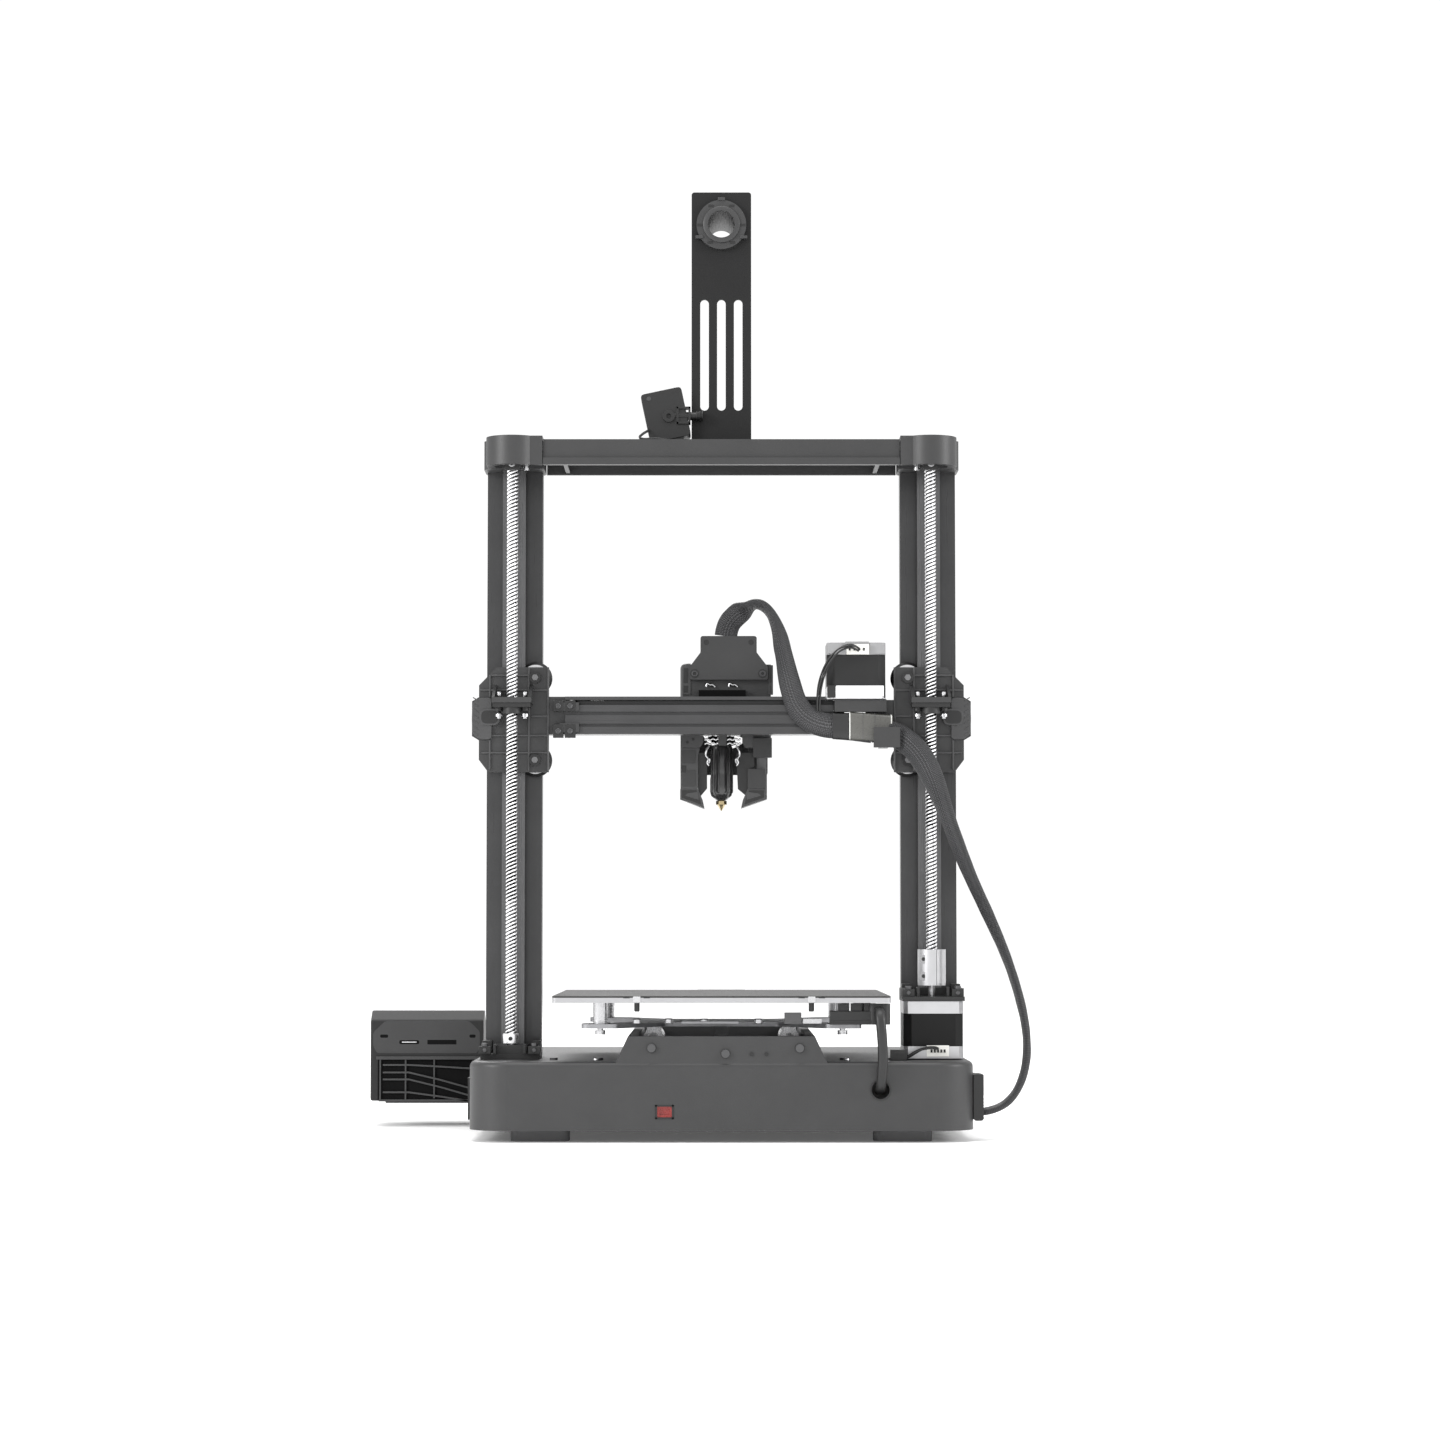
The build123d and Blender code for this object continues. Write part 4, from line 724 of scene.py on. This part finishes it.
def make_x_drive_details():
    bm = bmesh.new()
    left, right, back = -117.4, -75.4, 34.0
    box(bm, (left + 0.6, back - 0.2, 344.4), (left + 11.4, back + 0.25, 352.2), 0)
    box(bm, (right - 11.4, back - 0.2, 344.4), (right - 0.6, back + 0.25, 352.2), 0)
    box(bm, (left + 12, back - 0.2, 343.9), (right - 13, back + 0.9, 353.0), 0)
    box(bm, (left + 1.5, back - 0.2, 314.0), (right - 6.5, back + 0.5, 321.4), 2)
    box(bm, (right - 6.2, back - 0.4, 312.6), (right - 0.2, back + 0.2, 321.6), 1)
    box(bm, (left + 0.2, back - 0.4, 312.6), (left + 1.4, back + 0.2, 321.6), 1)
    finish_mesh("x_motor_caps", bm, [CAST, DARK_PLASTIC, CAP_ALLOY_AND_SHEEN], "gantry", 0.2)
    bm = bmesh.new()
    box(bm, (-105.2, 34.5, 344.6), (-89.6, 38.2, 350.8), 0)
    for k in range(4):
        box(bm, (-102.4 + k * 3.4, 38.1, 346.2), (-101.0 + k * 3.4, 38.9, 348.2), 1)
    finish_mesh("x_motor_plug", bm, [WHITE_PLASTIC, DARK_PLASTIC], "gantry", 0.2)
    bm = bmesh.new()
    for k in range(26):
        z = 322.6 + k * 0.82
        box(bm, (left + 4, back - 0.1, z), (right - 4, back + 0.06, z + 0.22))
    finish_mesh("x_motor_laminations", bm, DARK_PLASTIC, "gantry")

    bm = bmesh.new()
    for x0, x1 in ((104.5, 112.2), (113.2, 120.6)):
        for z0, z1 in ((303.6, 311.2), (284.6, 294.2)):
            box(bm, (x0, 20.6, z0), (x1, 25.6, z1), 0)
            lathe(bm, [(0, 25.6), (2.2, 25.6), (2.0, 26.5), (1.1, 26.5), (1.1, 25.8), (0, 25.8)],
                  ((x0 + x1) / 2, 0, (z0 + z1) / 2), "y", 20, 1)
    finish_mesh("beam_brackets", bm, [DARK_PLASTIC, DARK_SCREW], "gantry", 0.3)


def make_harness_band():
    """The smooth sleeve over the end of the upper arc and the film label round it."""
    bm = bmesh.new()

    def band(x0, x1, low0, high0, low1, high1, y0, y1, mark):
        rim = []
        for x, low, high in ((x0, low0, high0), (x1, low1, high1)):
            middle, half = (low + high) / 2, (high - low) / 2
            flat, deep = (y0 + y1) / 2, (y1 - y0) / 2
            ring = []
            for s in range(32):
                c, d = math.cos(2 * math.pi * s / 32), math.sin(2 * math.pi * s / 32)
                ring.append(bm.verts.new(at(x, flat + math.copysign(abs(c) ** 0.7, c) * deep,
                                            middle + math.copysign(abs(d) ** 0.6, d) * half)))
            rim.append(ring)
        for s in range(32):
            n = (s + 1) % 32
            bm.faces.new((rim[0][s], rim[0][n], rim[1][n], rim[1][s])).material_index = mark
        bm.faces.new(rim[0]).material_index = mark
        bm.faces.new(rim[1]).material_index = mark

    band(-79.5, -92.5, 283.4, 302.6, 282.4, 302.2, 24.4, 31.4, 0)
    band(-91.5, -122.6, 282.8, 303.2, 280.4, 300.6, 24.2, 31.7, 1)
    band(-91.5, -92.1, 282.7, 303.3, 282.6, 303.2, 24.1, 31.8, 2)
    band(-121.2, -121.8, 280.6, 301.0, 280.5, 300.9, 24.1, 31.8, 2)
    for x in (-101.0, -109.6):
        band(x, x - 0.35, 282.0, 302.6, 282.0, 302.6, 24.15, 31.75, 3)
    finish_mesh("harness_band", bm, [CABLE, LABEL, MARK, DARK_SCREW], "gantry")


# ---------------------------------------------------------------- toolhead

NOZZLE_BACK = -45.0


def wire_shape(name, points, radius, finish, body):
    piece = curve_tube(name, [at(*p) for p in points], radius, finish)
    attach(piece, body)
    return piece


def make_toolhead_details():
    bm = bmesh.new()
    for x in (11.0, -21.6):
        lathe(bm, [(0, -8.85), (2.0, -8.85), (2.0, -8.72), (0, -8.72)], (x, 0, 355.8), "y", 28, 1)
    for x in (19.4, -29.9):
        lathe(bm, [(0, -8.85), (3.4, -8.85), (3.4, -8.7), (0, -8.7)], (x, 0, 333.0), "y", 28, 1)
        cap_screw(bm, (x, -8.9, 333.0), "y", 1, 2.4, 0.9, 2)
    for x0, x1 in ((22.4, 28.4), (-37.6, -34.4)):
        box(bm, (x0, -19.2, 318.0), (x1, -13.6, 339.5), 0)
        box(bm, (x0 + 1.8, -13.7, 326.4), (x1 - 0.9, -13.5, 337.4), 1)
        box(bm, (x0 + 1.8, -13.7, 319.4), (x1 - 0.9, -13.5, 324.6), 1)
    finish_mesh("cover_details", bm, [SHROUD_AND_RIB_HIGHLIGHT, DARK_PLASTIC, DARK_SCREW], "toolhead", 0.25)

    bm = bmesh.new()
    top = [(29.2, 292), (29.2, 279.6), (15.6, 279.6), (13.2, 283.2), (13.2, 292)]
    prism(bm, rounded(top, 0.8), -21.2, -18.6, "y", 0)
    prism(bm, [(2.0, 292), (2.0, 281.2), (-4.0, 281.2), (-4.0, 292)], -21.2, -18.6, "y", 0)
    top = [(-15.2, 292), (-15.2, 283), (-17.4, 279.6), (-23.4, 279.6), (-23.4, 292)]
    prism(bm, rounded(top, 0.8), -21.2, -18.6, "y", 0)
    panel = [(29.6, 279.2), (29.6, 249.4), (17.0, 249.4), (17.0, 274.4), (15.4, 279.2)]
    prism(bm, rounded(panel, 0.8), -20.6, -18.9, "y", 0)
    box(bm, (18.6, -19.0, 268.2), (28.4, -18.5, 277.8), 3)
    box(bm, (18.6, -19.0, 251.4), (28.4, -18.5, 263.4), 3)
    box(bm, (25.8, -19.0, 261.4), (29.0, -18.3, 266.6), 1)
    box(bm, (-36.8, -24, 272.4), (-23.2, -17.6, 286.6), 3)
    prism(bm, rounded([(-19.2, 264.2), (-31.8, 264.2), (-31.8, 249.6), (-19.2, 249.6)], 0.8),
          -21.4, -18.7, "y", 3)
    for sign, inner, outer in ((1, 12.4, 30.0), (-1, -14.4, -32.2)):
        tip = [(outer, 249.4), (outer, 241.8), (inner, 235.9), (inner + sign * 1.2, 241.4),
               (inner + sign * 4.6, 249.4)]
        prism(bm, tip, -23, -19.4, "y", 0)
        hollow = [(outer - sign * 1.2, 248.6), (outer - sign * 1.2, 243.2),
                  (inner + sign * 2.4, 238.2), (inner + sign * 3.2, 241.8), (inner + sign * 5.8, 248.6)]
        prism(bm, hollow, -19.5, -19.2, "y", 1)
        fin = [(inner + sign * 4.4, 247.6), (outer - sign * 4.8, 246.2), (outer - sign * 3.4, 244.6),
               (inner + sign * 4.0, 241.6)]
        prism(bm, fin, -19.3, -18.9, "y", 0)
    slant = [(17.0, 276.0), (10.4, 276.0), (10.4, 250.0), (16.2, 243.0), (17.0, 249.4)]
    prism(bm, slant, -24.4, -21.6, "y", 1)
    slant = [(-10.8, 276.0), (-24.0, 276.0), (-24.0, 266), (-19.4, 263), (-19.2, 243.6), (-12.0, 249.6)]
    prism(bm, slant, -24.4, -21.8, "y", 1)
    for x, z in ((20.6, 285.8), (24.8, 283.6)):
        lathe(bm, [(0, -18.7), (1.1, -18.7), (1.1, -18.5), (0, -18.5)], (x, 0, z), "y", 16, 1)
    finish_mesh("shroud_back", bm, [SHROUD_AND_RIB_HIGHLIGHT, DARK_PLASTIC, GREY_PLASTIC, PLASTIC_SIDE], "toolhead",
                0.25)

    for side, centre in ((0, 7.2), (1, -9.2)):
        for row, z in enumerate((288.6, 285.6, 282.6)):
            wave = [(centre + 4.8, -17.8, z - 0.6), (centre + 3.4, -17.4, z + 0.9),
                    (centre + 1.2, -17.8, z - 0.9), (centre - 1.2, -17.4, z + 0.9),
                    (centre - 3.4, -17.8, z - 0.9), (centre - 4.8, -17.4, z + 0.6)]
            wire_shape(f"wave_clip_{side}_{row}", wave, 0.72, CLIP, "toolhead")
        sign = 1 if centre > 0 else -1
        edge = centre + sign * 1.6
        hook = [(edge, -20, 281.0), (edge + sign * 2.2, -18.4, 278.4), (edge + sign * 2.8, -19, 274.0),
                (edge + sign * 0.4, -18.2, 271.6), (edge + sign * 2.0, -18.8, 268.2),
                (edge, -18.4, 266.6)]
        wire_shape(f"hook_clip_{side}", hook, 0.8, CLIP, "toolhead")
        loop = [(edge + sign * 1.2, -17.6, 270.4), (edge + sign * 0.2, -17.4, 272.0),
                (edge - sign * 0.8, -17.6, 270.2), (edge + sign * 0.4, -17.4, 268.2)]
        wire_shape(f"hook_loop_{side}", loop, 0.6, SCREW_STEEL, "toolhead")
        omega = [(centre + 3.8, -12.6, 323.6), (centre + 3.4, -12.4, 326.8), (centre + 1.4, -12.6, 324.6),
                 (centre - 0.8, -12.4, 325.4), (centre - 2.6, -12.6, 323.4)]
        wire_shape(f"belt_clip_{side}", omega, 0.8, CLIP, "toolhead")

    bm = bmesh.new()
    profile = [(3.0, 310)]
    for k in range(5):
        profile += [(3.0, 309 - k * 4.4), (10.6, 309 - k * 4.4), (10.6, 307.4 - k * 4.4),
                    (3.0, 307.4 - k * 4.4)]
    lathe(bm, profile + [(3.0, 281)], (0, NOZZLE_BACK, 0), "z", 40, 0)
    sock = [(3.0, 283), (7.4, 282.4), (8.2, 280.6), (8.3, 262.4), (7.9, 260.2), (8.4, 257.4),
            (8.4, 248.4), (7.6, 245.4), (4.6, 242.6), (3.6, 242.0)]
    lathe(bm, sock, (0, NOZZLE_BACK, 0), "z", 48, 1)
    for a in (0.5, 1.35, 2.2, 2.9):
        x, y = 8.2 * math.cos(a), 8.2 * math.sin(a)
        lathe(bm, [(0, 247), (0.7, 248), (0.7, 278), (0, 279)], (x, NOZZLE_BACK + y, 0), "z", 10, 1)
    lathe(bm, [(0, 234.4), (0.5, 234.4), (0.8, 235.0), (2.9, 238.6), (4.0, 238.8), (4.0, 241.6),
               (2.4, 241.8), (2.4, 243.6)], (0, NOZZLE_BACK, 0), "z", 6, 2)
    nose = finish_mesh("hotend_body", bm, [ALUMINIUM, SOCK, BRASS], "toolhead", 0.2)
    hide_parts("hotend")


# ---------------------------------------------------------------- base, feet, display

def make_base_details():
    bm = bmesh.new()
    rear = 93.0
    for x, z in ((-20.9, 61.2), (-31.2, 61.2)):
        lathe(bm, [(0, rear), (1.5, rear), (1.5, rear + 0.1), (0, rear + 0.1)], (x, 0, z), "y", 20, 1)
    for x, z in ((48.5, 65.2), (-54.5, 65.2), (-2.8, 61.4)):
        lathe(bm, [(0, rear), (3.3, rear), (3.3, rear + 0.08), (0, rear + 0.08)], (x, 0, z), "y", 28, 1)
    lathe(bm, [(6.2, rear - 2), (6.2, rear + 0.5), (7.4, rear + 0.5), (7.4, rear - 2), (6.2, rear - 2)],
          (-110.4, 0, 36.6), "y", 40, 1)
    frame_ring = [((33.0, 16.4), (46.0, 17.6)), ((33.0, 25.0), (46.0, 26.2)),
                  ((33.0, 16.4), (34.4, 26.2)), ((44.6, 16.4), (46.0, 26.2))]
    for (x0, z0), (x1, z1) in frame_ring:
        box(bm, (x0, rear - 1.6, z0), (x1, rear + 0.3, z1), 1)
    for x in (88.0, -88.0):
        lathe(bm, [(0, 55.9), (3.6, 55.9), (3.6, 56.15), (0, 56.15)], (x, 62, 0), "z", 28, 1)
        lathe(bm, [(0, 56.1), (2.2, 56.1), (2.0, 57.0), (1.1, 57.0), (1.1, 56.4), (0, 56.4)],
              (x, 62, 0), "z", 20, 2)
    box(bm, (-130.0, 62.5, 55.8), (-118.5, 72.5, 63.5), 1)
    box(bm, (-130.0, 62.0, 60.5), (-121.5, 73.0, 62.0), 1)
    finish_mesh("base_details", bm, [PLASTIC, DARK_PLASTIC, SCREW_STEEL], "root", 0.15)

    bm = bmesh.new()
    box(bm, (-160.0, 58.7, 58.4), (-144.4, 60.1, 66.2), 0)
    for k in range(5):
        box(bm, (-157.6 + k * 2.3, 60.0, 61.2), (-156.2 + k * 2.3, 60.5, 63.4), 1)
    finish_mesh("z_motor_plug", bm, [WHITE_PLASTIC, DARK_PLASTIC], "root", 0.15)

    bm = bmesh.new()
    for out, low in ((-1, 100.2), (1, 60.0)):
        x = out * UPRIGHT_X
        for dx in (-17.4, 17.4):
            box(bm, (x + dx - 3.4, 17, low), (x + dx + 3.4, 30, low + 8.6), 0)
            box(bm, (x + dx - 4.2, 50, low), (x + dx + 4.2, 56, low + 5.4), 0)
            lathe(bm, [(0, low + 5.4), (2.4, low + 5.4), (2.4, low + 7.6), (0, low + 7.6)],
                  (x + dx, 53, 0), "z", 20, 1)
            lathe(bm, [(0, 0), (1.6, 0), (1.4, 0.8), (0, 0.8)], (x + dx, 56, low + 2.7), "y", 16, 1)
        for dx in (-10.5, 10.5):
            box(bm, (x + dx - 1, 44, low), (x + dx + 1, 55, low + 6.8), 0)
    finish_mesh("foot_bracket_ribs", bm, [DARK_PLASTIC, DARK_SCREW], "root", 0.25)

    bm = bmesh.new()
    wall = -183.4
    box(bm, (wall - 0.3, 46, 31.5), (-176.2, 70, 46.2), 0)
    for k in range(7):
        z = 15.4 + k * 2.2
        box(bm, (wall - 0.35, 45.5, z), (-178, 70.5, z + 1.1), 0)
    finish_mesh("connector_ribs", bm, DARK_PLASTIC, "root", 0.3)


def make_display_details():
    rear = -107.0
    bm = bmesh.new()
    # The recessed lower panel and the slots (material 1) carry painted shade.
    box(bm, (180.6, rear - 0.2, 19.6), (257.4, rear + 0.15, 50.0), 1)
    box(bm, (179.6, rear - 0.2, 50.0), (258.4, rear + 2.6, 52.4), 2)
    for drop, fall in ((41.0, 13.4), (35.8, 13.8), (26.2, 7.6), (46.6, 3.0)):
        rib = [(253.4, drop), (233.9, drop), (210.0, drop - fall * 0.42), (182.0, drop - fall),
               (182.0, drop - fall - 1.3), (210.0, drop - fall * 0.42 - 1.3), (233.9, drop - 1.3),
               (253.4, drop - 1.3)]
        prism(bm, rib, rear - 0.2, rear + 2.2, "y", 0)
    for x, low in ((236.4, 20.2), (215.0, 21.0), (255.4, 20.2)):
        box(bm, (x - 0.6, rear - 0.2, low), (x + 0.6, rear + 1.8, 50.0), 0)
    box(bm, (180.6, rear - 0.2, 18.6), (256.4, rear + 2.2, 20.2), 0)
    slots = ((226.4, 241.4, 61.4, 64.4, 1.3), (198.5, 220.3, 61.2, 64.6, 0.3),
             (249.7, 255.7, 66.2, 68.6, 1.3), (184.2, 188.8, 66.2, 68.6, 1.3))
    for x0, x1, z0, z1, corner in slots:
        outline = rounded([(x0, z0), (x1, z0), (x1, z1), (x0, z1)], corner)
        prism(bm, outline, rear - 0.2, rear + 0.12, "y", 1)
    box(bm, (228.4, rear, 62.5), (239.4, rear + 0.2, 63.3), 3)
    upper = rounded([(183, 54.6), (258, 54.6), (261, 60), (261, 70), (252, 78.6), (189, 78.6),
                     (181, 71), (181, 60)], 2)
    prism(bm, upper, rear - 0.3, rear + 0.08, "y", 2)
    finish_mesh("display_back", bm, [PLASTIC, PAINTED_SHADE, PLASTIC_SIDE, SCREW_STEEL], "root",
                0.2)


# ---------------------------------------------------------------- bed

def make_bed_details():
    bm = bmesh.new()
    for x in (58.8, -62.6):
        lathe(bm, [(0, 90.6), (1.5, 90.6), (1.9, 91.4), (1.9, 96.8), (0, 96.8)], (x, 88, 0), "z", 16, 1)
        box(bm, (x - 2.6, 96.9, 97.2), (x + 2.6, 97.7, 101.2), 0)
        for dx in (-7.0, 7.0):
            box(bm, (x + dx - 2.2, 96.9, 100.0), (x + dx + 2.2, 97.5, 101.2), 1)
    for x, y in ((59.5, 66), (37.0, 60), (-26.0, 64), (12.0, 66), (-48.0, 56)):
        lathe(bm, [(2.7, 81.5), (3.0, 81.9), (3.0, 84.4), (2.4, 85.2), (1.3, 85.2), (1.3, 83.6),
                   (0, 83.6)], (x, y, 0), "z", 24, 0)
    box(bm, (-56.0, 62, 81.6), (-44.2, 74, 89.4), 2)
    box(bm, (-70.5, 60, 81.6), (-57.0, 68, 85.2), 0)
    box(bm, (-12.0, 60, 81.6), (28.0, 72, 83.4), 3)
    for x0, x1 in ((-107.4, -99.0), (-97.6, -89.8), (-88.4, -81.0)):
        box(bm, (x0, 86.2, 91.0), (x1, 90.6, 96.4), 1)
    box(bm, (-104.6, 86, 83.2), (-76.0, 92.5, 84.4), 1)
    finish_mesh("bed_hardware", bm, [SCREW_STEEL, DARK_PLASTIC, GREY_PLASTIC, CARRIAGE_STEEL],
                "bed", 0.2)


# ---------------------------------------------------------------- top of the frame

HUB_Z = 657.8
SENSOR_LEAN = math.radians(12)
WIRE_GUIDE_Z = 517.7


def make_top_details():
    bm = bmesh.new()
    lathe(bm, [(9.8, 14.4), (13.4, 14.4), (13.4, 15.8), (12.8, 16.2), (9.8, 16.2), (9.8, 14.4)],
          (0, 0, HUB_Z), "y", 48, 0)
    for k in range(3):
        a = math.radians(90 + 120 * k)
        for shift, reach, wide, mark, top in ((0, 18.6, 2.6, 0, 15.6), (0.5, 15.6, 2.2, 1, 14.65),
                                              (-0.5, 15.6, 2.2, 1, 14.65)):
            x, z = reach * math.cos(a + shift), HUB_Z + reach * math.sin(a + shift)
            box(bm, (x - wide, 12.0, z - 1.1), (x + wide, top, z + 1.1), mark)
    finish_mesh("hub_details", bm, [PLASTIC, DARK_PLASTIC], "root", 0.2)

    bm = bmesh.new()
    corners = [(-15, -18), (15, -18), (15, 18), (-15, 18)]
    level, rise = math.cos(SENSOR_LEAN), math.sin(SENSOR_LEAN)
    outline = [(40.2 + u * level + v * rise, 518.4 + v * level - u * rise) for u, v in corners]
    prism(bm, rounded(outline, 3), -6, 18, "y", 0)
    box(bm, (27, -6, 496.5), (48, 17, 504), 0)
    lathe(bm, [(0, 16), (3, 16), (3, 34), (0, 34)], (0, 15.4, WIRE_GUIDE_Z), "x", 32, 0)
    body = finish_mesh("sensor_body", bm, DARK_PLASTIC, "root", 0.4)
    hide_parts("filament_sensor")

    bm = bmesh.new()
    lathe(bm, [(1.8, 17.9), (4.4, 17.9), (4.4, 20.0), (1.8, 20.0), (1.8, 17.9)], (38.0, 0, 517.2), "y",
          32, 0)
    lathe(bm, [(0, 18.0), (1.6, 18.0), (1.6, 18.3), (0, 18.3)], (52.4, 0, 530.0), "y", 20, 1)
    for (x0, z0), (x1, z1) in (((22.3, 511.6), (32.4, 513.2)), ((22.3, 522.6), (32.4, 524.2)),
                               ((22.3, 511.6), (23.8, 524.2)), ((30.9, 511.6), (32.4, 524.2))):
        box(bm, (x0, 12, z0), (x1, 19.6, z1), 0)
    for k in range(5):
        lathe(bm, [(3.0, 13.4 + k), (3.9, 13.5 + k), (3.9, 14.1 + k), (3.0, 14.2 + k)],
              (0, 15.4, WIRE_GUIDE_Z), "x", 24, 0)
    finish_mesh("sensor_details", bm, [DARK_PLASTIC, DARK_SCREW], "root", 0.15)

    bm = bmesh.new()
    for side in (1, -1):
        x = side * UPRIGHT_X
        box(bm, (x - 5.3, 43.2, 474.8), (x + 5.3, 50, 483), 0)
        lathe(bm, [(0, 50), (2.6, 50), (2.4, 50.8), (1.3, 50.8), (1.3, 50.2), (0, 50.2)],
              (x, 0, 479), "y", 24, 1)
        lathe(bm, [(0, 474.6), (2.1, 474.6), (2.1, 481), (0, 481)], (x - side * 10, 44, 0), "z", 20, 2)
    for k in range(-23, 24):
        box(bm, (k * 4.7 - 1.1, 31, 487.6), (k * 4.7 + 1.1, 45.6, 488.9), 0)
        box(bm, (k * 4.7 - 1.1, -6, 487.6), (k * 4.7 + 1.1, 8, 488.9), 0)
    finish_mesh("top_beam_hardware", bm, [DARK_PLASTIC, SCREW_STEEL, STEEL], "root", 0.15)


make_lead_screws()
make_carriage_details()
make_x_drive_details()
make_harness_band()
make_toolhead_details()
make_base_details()
make_display_details()
make_bed_details()
make_top_details()


# ---------------------------------------------------------------- studio

def make_studio():
    low = CAD_BOX[0]
    bm = bmesh.new()
    half = 9.0
    for x, y in ((-half, -half), (half, -half), (half, half), (-half, half)):
        bm.verts.new((x, y, low.z - 0.0002))
    bm.faces.new(bm.verts)
    pale = surface("studio_floor", (0.97, 0.97, 0.97), 0.7, vary=0.004, grain=3, height=0.0)
    shader = pale.node_tree.nodes["Principled BSDF"]
    shader.inputs["Emission Color"].default_value = (1, 1, 1, 1)
    shader.inputs["Emission Strength"].default_value = 0.09
    finish_mesh("studio_floor", bm, pale, None)

    world = bpy.data.worlds.new("studio")
    world.use_nodes = True
    world.node_tree.nodes["Background"].inputs["Color"].default_value = (1, 1, 1, 1)
    world.node_tree.nodes["Background"].inputs["Strength"].default_value = 1.05
    bpy.context.scene.world = world

    for name, spot, size, power in (("key", (2.1, 1.7, 1.2), 0.8, 46),
                                    ("fill", (-2.3, 0.9, 1.1), 0.7, 30),
                                    ("front", (0.6, -2.4, 2.2), 1.6, 40),
                                    ("top", (0, 0.6, 2.6), 1.2, 26)):
        light = bpy.data.objects.new(name, bpy.data.lights.new(name, "AREA"))
        light.data.size = size
        light.data.energy = power
        light.location = spot
        light.rotation_euler = (Vector((0, 0, 0.3)) - Vector(spot)).to_track_quat("-Z", "Y").to_euler()
        bpy.context.scene.collection.objects.link(light)
    bpy.context.scene.view_settings.view_transform = "Standard"


make_studio()
